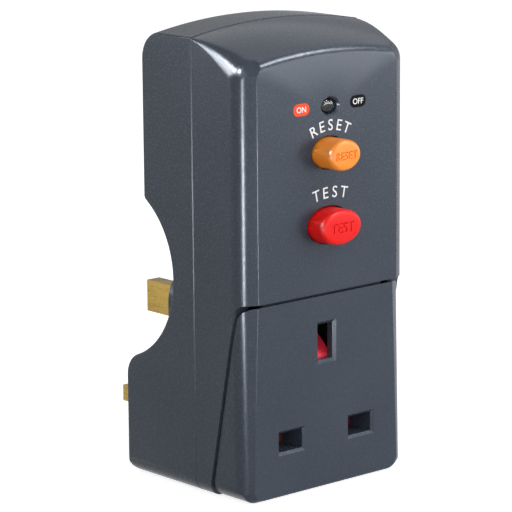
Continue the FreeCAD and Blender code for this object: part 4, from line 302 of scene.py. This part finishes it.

# Painted shade: the socket block is coloured near black in place of its slot's colour, so that the apertures
# look dark inside
socketShadeFinish = {"name": "socket plastic painted dark for shade", "colour": (0.006, 0.006, 0.007), "shade": (0.010, 0.010, 0.011),
                "roughness": 0.5, "specular": 0.2}
whiteFinish = {"name": "white ink", "colour": (0.80, 0.81, 0.82), "shade": (0.72, 0.73, 0.75)}
redFinish = {"name": "red ink", "colour": (0.82, 0.07, 0.015), "shade": (0.88, 0.09, 0.02), "specular": 0.1}
blackFinish = {"name": "black ink", "colour": (0.0015, 0.0015, 0.002), "shade": (0.004, 0.004, 0.005),
               "specular": 0.04}
socketPaintedShade = mouldedPlastic(**socketShadeFinish)
whiteInk = printedInk(**whiteFinish)
redInk = printedInk(**redFinish)
blackInk = printedInk(**blackFinish)
print("materials made")


# CAD nodes keep their shape; the shown ones get smooth copies with crisp edges.
# An edge that turns by more than its piece's angle, in degrees, stays crisp.

creaseAngles = {
    "rear_shell": 28.0, "front_shell": 28.0, "socket_cover": 28.0, "reset_button": 40.0, "test_button": 40.0,
    "indicator_window": 40.0, "shutter": 30.0, "earth_pin": 20.0, "line_pin": 20.0, "neutral_pin": 20.0,
    "case_screws": 30.0, "indicator_flag": 35.0, "reset_spring": 50.0, "test_spring": 50.0,
    "carrier_spring": 50.0, "plunger_spring": 50.0, "shutter_spring": 50.0,
}
weldDistance = 0.000001
bodies = frame["record"]["behaviour"]["bodies"]
nodeBody = {node: body for body, members in bodies.items() for node in members}
nodeSlot = {entry["node"]: entry["material_slot"] for entry in frame["record"]["subparts"]}


def smoothCopy(node, creaseAngle):
    source = frame["nodes"][node]
    mesh = source.data.copy()
    work = bmesh.new()
    work.from_mesh(mesh)
    bmesh.ops.remove_doubles(work, verts=work.verts, dist=weldDistance)
    for face in work.faces:
        face.smooth = True
    limit = math.radians(creaseAngle)
    for edge in work.edges:
        edge.smooth = len(edge.link_faces) == 2 and edge.calc_face_angle() < limit
    work.to_mesh(mesh)
    work.free()
    if "custom_normal" in mesh.attributes:
        mesh.attributes.remove(mesh.attributes["custom_normal"])
    mesh.materials.clear()
    mesh.materials.append(materials[nodeSlot[node]])
    piece = bpy.data.objects.new(node + "_skin", mesh)
    scene.collection.objects.link(piece)
    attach(piece, nodeBody[node])
    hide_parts(node)
    return piece


skins = {}
for node, item in frame["nodes"].items():
    if node in creaseAngles:
        skins[node] = smoothCopy(node, creaseAngles[node])
    else:
        item.data.materials.clear()
        # the socket block gets near-black painted shade instead of its slot's finish
        item.data.materials.append(socketPaintedShade if node == "socket_block" else materials[nodeSlot[node]])
print("skins made")


# Each spring that a joint deforms gets a mesh of its own; nothing here changes its shape

def shortenSpring(entry):
    coil = skins[entry["node"]]
    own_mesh(coil)


for joint in frame["record"]["behaviour"]["joints"]:
    for entry in joint.get("deforming_nodes", []):
        shortenSpring(entry)
print("springs made")


# Printed marks; their places and sizes are in millimetres, seen from the front

panelFace = -43.6  # y of the flat panel
marksCentre = 0.45  # x of the two arched words
capitalShare = 0.7  # a capital's height as a share of the font size
curveSteps = 4  # along each curved stretch of a letter
facing = Matrix(((1, 0, 0, 0), (0, 0, -1, 0), (0, 1, 0, 0), (0, 0, 0, 1)))  # stands a flat mark up


def onFront(x, z, depth, turn=0.0):
    place = Matrix.Translation(Vector((x, depth, z)) * mm)
    return place @ facing @ Matrix.Rotation(math.radians(turn), 4, "Z")


def meshFromCurve(curve, name, material):
    holder = bpy.data.objects.new(name + "_curve", curve)
    scene.collection.objects.link(holder)
    bpy.context.view_layer.update()
    mesh = bpy.data.meshes.new_from_object(holder.evaluated_get(bpy.context.evaluated_depsgraph_get()))
    bpy.data.objects.remove(holder)
    mesh.materials.clear()
    mesh.materials.append(material)
    return mesh


def letterMesh(text, height, thickness, material, weight, widen=1.0):
    curve = bpy.data.curves.new("letter", "FONT")
    curve.body = text
    curve.size = height / capitalShare * mm
    curve.extrude = thickness / 2 * mm
    curve.offset = weight * mm
    curve.align_x = "CENTER"
    curve.resolution_u = curveSteps
    mesh = meshFromCurve(curve, "letter", material)
    mesh.transform(Matrix.Diagonal((widen, 1.0, 1.0, 1.0)))
    return mesh


def placeMark(mesh, name, matrix):
    mesh.transform(matrix)
    piece = bpy.data.objects.new(name, mesh)
    scene.collection.objects.link(piece)
    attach(piece, "casing")


def joinLetters(letters, name):
    work = bmesh.new()
    for mesh in letters:
        work.from_mesh(mesh)
    joined = bpy.data.meshes.new(name)
    work.to_mesh(joined)
    work.free()
    joined.materials.append(letters[0].materials[0])
    return joined


# The words over the buttons: each letter stands on an arc and takes its own share of it

resetMark = {"text": "RESET", "rise": 60.3, "radius": 11.4, "halfAngle": 31.0, "height": 2.6}
testMark = {"text": "TEST", "rise": 35.9, "radius": 19.9, "halfAngle": 15.8, "height": 2.7}
archedInk = {"thickness": 0.03, "weight": 0.01, "lift": 0.015}
letterShares = {"R": 1.05, "E": 0.95, "S": 1.0, "T": 0.95}


def archedWord(name, mark):
    letters = []
    shares = [letterShares[letter] for letter in mark["text"]]
    total = sum(shares)
    reach = 0.0
    for letter, share in zip(mark["text"], shares):
        middle = (reach + share / 2) / total
        reach += share
        angle = mark["halfAngle"] * (1 - 2 * middle)
        lean = math.radians(angle)
        x = marksCentre - mark["radius"] * math.sin(lean)
        z = mark["rise"] + mark["radius"] * math.cos(lean)
        mesh = letterMesh(letter, mark["height"], archedInk["thickness"], whiteInk, archedInk["weight"])
        mesh.transform(onFront(x, z, panelFace - archedInk["lift"], angle))
        letters.append(mesh)
    placeMark(joinLetters(letters, name), name, Matrix.Identity(4))


archedWord("reset_mark", resetMark)
archedWord("test_mark", testMark)


# The two pills beside the window, and the words on them

onPill = {"x": -8.5, "z": 77.4, "width": 5.1, "tall": 2.9, "ink": redInk}
offPill = {"x": 9.35, "z": 77.6, "width": 5.1, "tall": 2.9, "ink": blackInk}
pillInk = {"thickness": 0.02, "endSteps": 12}
onWord = {"text": "ON", "x": -8.5, "z": 76.75}
offWord = {"text": "OFF", "x": 9.35, "z": 76.95}
pillWordInk = {"height": 1.35, "thickness": 0.03, "weight": 0.02, "lift": 0.035}


def addPill(name, pill):
    work = bmesh.new()
    ring = []
    radius = pill["tall"] / 2
    straight = pill["width"] / 2 - radius
    for side in (1, -1):
        for step in range(pillInk["endSteps"] + 1):
            angle = math.radians(-90 + 180 * step / pillInk["endSteps"])
            across = side * (straight + radius * math.cos(angle)) * mm
            along = side * radius * math.sin(angle) * mm
            ring.append(work.verts.new((across, along, 0.0)))
    face = work.faces.new(ring)
    raised = bmesh.ops.extrude_face_region(work, geom=[face])["geom"]
    for item in raised:
        if isinstance(item, bmesh.types.BMVert):
            item.co.z += pillInk["thickness"] * mm
    bmesh.ops.recalc_face_normals(work, faces=work.faces)
    mesh = bpy.data.meshes.new(name)
    work.to_mesh(mesh)
    work.free()
    mesh.materials.append(pill["ink"])
    placeMark(mesh, name, onFront(pill["x"], pill["z"], panelFace))


def addPillWord(name, word):
    mesh = letterMesh(word["text"], pillWordInk["height"], pillWordInk["thickness"], whiteInk,
                      pillWordInk["weight"])
    placeMark(mesh, name, onFront(word["x"], word["z"], panelFace - pillWordInk["lift"]))


addPill("on_pill", onPill)
addPill("off_pill", offPill)
addPillWord("on_mark", onWord)
addPillWord("off_mark", offWord)


# The words on the buttons are cut into their faces; sink is how far the cutter's middle lies behind the face

resetWord = {"text": "RESET", "height": 1.9, "rise": 66.5, "face": panelFace - 6.1, "widen": 0.95}
testWord = {"text": "TEST", "height": 2.4, "rise": 49.4, "face": panelFace - 4.75, "widen": 1.0}
cut = {"thickness": 0.4, "sink": 0.1, "weight": 0.02, "creaseAngle": 35.0}


def engrave(node, word):
    letters = letterMesh(word["text"], word["height"], cut["thickness"], materials[nodeSlot[node]],
                         cut["weight"], word["widen"])
    cutter = bpy.data.objects.new("cutter", letters)
    cutter.data.transform(onFront(0, word["rise"] - word["height"] / 2, word["face"] + cut["sink"]))
    scene.collection.objects.link(cutter)
    skin = skins[node]
    carve = skin.modifiers.new("carve", "BOOLEAN")
    carve.operation = "DIFFERENCE"
    carve.solver = "EXACT"
    carve.object = cutter
    bpy.context.view_layer.update()
    mesh = bpy.data.meshes.new_from_object(skin.evaluated_get(bpy.context.evaluated_depsgraph_get()))
    mesh.set_sharp_from_angle(angle=math.radians(cut["creaseAngle"]))
    skin.modifiers.clear()
    skin.data = mesh
    bpy.data.objects.remove(cutter)


engrave("reset_button", resetWord)
engrave("test_button", testWord)
print("marks made")


# Camera, solved from the sizes that the socket's standard fixes

viewCamera = {
    "right": (0.7504, -0.6610, -0.0078),
    "up": (0.1419, 0.1495, 0.9785),
    "place": (-436.07, -514.42, 177.10),  # millimetres
    "focalPixels": 2800.6,
    "photoPixels": 512,
    "sensor": 36.0,  # millimetres
    "near": 0.05,  # metres
    "far": 20.0,
}


def addCamera(view):
    right = Vector(view["right"])
    up = Vector(view["up"])
    back = right.cross(up).normalized()
    up = back.cross(right).normalized()
    data = bpy.data.cameras.new("camera")
    data.sensor_width = view["sensor"]
    data.lens = view["focalPixels"] / view["photoPixels"] * view["sensor"]
    data.clip_start = view["near"]
    data.clip_end = view["far"]
    camera = bpy.data.objects.new("camera", data)
    scene.collection.objects.link(camera)
    place = Matrix((right, up, back)).transposed().to_4x4()
    place.translation = Vector(view["place"]) * mm
    camera.matrix_world = place
    scene.camera = camera


addCamera(viewCamera)
print("camera made")


# Floor and sky: dim where they light the part, plain white in the picture and in reflections

studioFloor = {"reach": 6.0, "rise": -0.01442, "grey": (0.60, 0.60, 0.60, 1.0), "glow": 0.80}
studioSky = {"colour": (0.88, 0.94, 1.0, 1.0), "ambient": 0.30, "backdrop": 1.0}


def anyRay(tree, *kinds):
    path = addNode(tree, "ShaderNodeLightPath")
    seen = path.outputs[kinds[0]]
    for kind in kinds[1:]:
        either = addNode(tree, "ShaderNodeMath", operation="MAXIMUM")
        tree.links.new(seen, either.inputs[0])
        tree.links.new(path.outputs[kind], either.inputs[1])
        seen = either.outputs[0]
    return seen


def chooseShader(tree, factor, first, second, output):
    choice = addNode(tree, "ShaderNodeMixShader")
    tree.links.new(factor, choice.inputs[0])
    tree.links.new(first.outputs[0], choice.inputs[1])
    tree.links.new(second.outputs[0], choice.inputs[2])
    tree.links.new(choice.outputs[0], output.inputs["Surface"])


def addFloor(look):
    reach = look["reach"]
    rise = look["rise"]
    corners = [(-reach, -reach, rise), (reach, -reach, rise), (reach, reach, rise), (-reach, reach, rise)]
    mesh = bpy.data.meshes.new("floor")
    mesh.from_pydata(corners, [], [(0, 1, 2, 3)])
    material, tree, output = emptyMaterial("studio floor")
    diffuse = addNode(tree, "ShaderNodeBsdfDiffuse", Color=look["grey"])
    glow = addNode(tree, "ShaderNodeEmission", Color=white)
    strength = addNode(tree, "ShaderNodeMath", operation="MULTIPLY")
    strength.inputs[1].default_value = look["glow"]
    tree.links.new(anyRay(tree, "Is Camera Ray"), strength.inputs[0])
    tree.links.new(strength.outputs[0], glow.inputs["Strength"])
    both = addNode(tree, "ShaderNodeAddShader")
    tree.links.new(diffuse.outputs[0], both.inputs[0])
    tree.links.new(glow.outputs[0], both.inputs[1])
    mirrored = addNode(tree, "ShaderNodeEmission", Color=white)
    chooseShader(tree, anyRay(tree, "Is Glossy Ray", "Is Transmission Ray"), both, mirrored, output)
    mesh.materials.append(material)
    floor = bpy.data.objects.new("floor", mesh)
    scene.collection.objects.link(floor)


def addSky(look):
    world = bpy.data.worlds.new("studio")
    scene.world = world
    world.use_nodes = True
    tree = world.node_tree
    tree.nodes.clear()
    output = addNode(tree, "ShaderNodeOutputWorld")
    soft = addNode(tree, "ShaderNodeBackground", Color=look["colour"], Strength=look["ambient"])
    plain = addNode(tree, "ShaderNodeBackground", Color=white, Strength=look["backdrop"])
    seen = anyRay(tree, "Is Camera Ray", "Is Glossy Ray", "Is Transmission Ray")
    chooseShader(tree, seen, soft, plain, output)


scene.view_settings.view_transform = "Standard"
addFloor(studioFloor)
addSky(studioSky)
print("floor and sky made")


# Lamps: distances and sizes in metres, spread in degrees; glow is the lamp's brightness, whatever its size

aimPoint = Vector((0.0, -0.025, 0.045))
edgeStrips = {  # level with the part's lower half; top is the height of a strip's upper edge
    "band strip": {"direction": (-0.72, -0.69), "distance": 0.24, "width": 0.03, "top": 0.05, "glow": 95.0},
    "rim strip": {"direction": (-0.03, -1.0), "distance": 0.28, "width": 0.04, "top": 0.05, "glow": 80.0},
}
gleamLamps = {  # small lamps with a narrow beam, for the gleams on the casing
    "ridge back": {"direction": (-0.78, 0.60, 0.20), "distance": 0.75, "width": 0.2, "height": 0.2,
                   "glow": 1.8, "spread": 45.0},
    "ridge middle": {"direction": (-0.82, 0.42, 0.36), "distance": 0.75, "width": 0.2, "height": 0.2,
                     "glow": 3.0, "spread": 45.0},
    "ridge top": {"direction": (-0.80, 0.15, 0.56), "distance": 0.75, "width": 0.2, "height": 0.2,
                  "glow": 9.5, "spread": 45.0},
    "ridge front": {"direction": (-0.76, -0.30, 0.57), "distance": 0.75, "width": 0.2, "height": 0.2,
                    "glow": 9.5, "spread": 45.0},
    "key gleam": {"direction": (0.55, -0.55, 0.63), "distance": 0.8, "width": 0.22, "height": 0.22,
                  "glow": 2.0, "spread": 45.0},
}
softLamps = {  # wide lamps that light the whole part
    "front wall": {"direction": (0.70, -0.72, -0.02), "distance": 1.0, "width": 0.8, "height": 0.5,
                   "glow": 7.0},
    "key": {"direction": (0.42, -0.62, 0.66), "distance": 0.8, "width": 0.35, "height": 0.35, "glow": 6.0},
    "overhead": {"direction": (0.50, 0.40, 0.75), "distance": 0.9, "width": 1.0, "height": 0.7,
                 "glow": 0.8},
    "left fill": {"direction": (-0.62, -0.72, 0.30), "distance": 0.8, "width": 0.5, "height": 0.5,
                  "glow": 2.6},
}
greyCard = {"direction": (0.58, 0.62, 0.50), "distance": 1.0, "width": 1.5, "height": 1.1, "tone": 0.42}


def sideAndUp(back):
    side = upward.cross(back).normalized()
    return side, back.cross(side)


def addSoftbox(name, place, target, width, height, glow, spread=180.0):
    data = bpy.data.lights.new(name, "AREA")
    data.shape = "RECTANGLE"
    data.size = width
    data.size_y = height
    data.energy = glow * math.pi * width * height
    data.spread = math.radians(spread)
    light = bpy.data.objects.new(name, data)
    scene.collection.objects.link(light)
    back = (place - target).normalized()
    side, up = sideAndUp(back)
    turned = Matrix((side, up, back)).transposed().to_4x4()
    turned.translation = place
    light.matrix_world = turned
    return light


def addStrip(name, direction, distance, width, top, glow):
    low = cadLow.z
    rise = (low + top) / 2
    across = Vector((*direction, 0.0)).normalized() * distance
    place = Vector((across.x, across.y + aimPoint.y, rise))
    return addSoftbox(name, place, Vector((0.0, aimPoint.y, rise)), width, top - low, glow)


def addAimed(name, direction, distance, width, height, glow, spread=180.0):
    place = aimPoint + Vector(direction).normalized() * distance
    return addSoftbox(name, place, aimPoint, width, height, glow, spread)


# A grey card behind and above the part: the camera doesn't see it, but reflections do

def addCard(name, direction, distance, width, height, tone):
    back = Vector(direction).normalized()
    side, up = sideAndUp(back)
    middle = aimPoint + back * distance
    ends = ((-1, -1), (1, -1), (1, 1), (-1, 1))
    corners = [middle + side * width * x / 2 + up * height * y / 2 for x, y in ends]
    mesh = bpy.data.meshes.new(name)
    mesh.from_pydata([tuple(corner) for corner in corners], [], [(0, 1, 2, 3)])
    material, tree, output = emptyMaterial(name)
    glow = addNode(tree, "ShaderNodeEmission", Strength=tone)
    tree.links.new(glow.outputs[0], output.inputs["Surface"])
    mesh.materials.append(material)
    card = bpy.data.objects.new(name.replace(" ", "_"), mesh)
    scene.collection.objects.link(card)
    card.visible_camera = False
    card.visible_diffuse = False
    card.visible_shadow = False


gleams = [addStrip(name, **strip) for name, strip in edgeStrips.items()]
gleams += [addAimed(name, **lamp) for name, lamp in gleamLamps.items()]
for light in gleams:
    light.visible_diffuse = False  # they add reflections only
for name, lamp in softLamps.items():
    addAimed(name, **lamp)
addCard("grey card", **greyCard)
print("studio made")
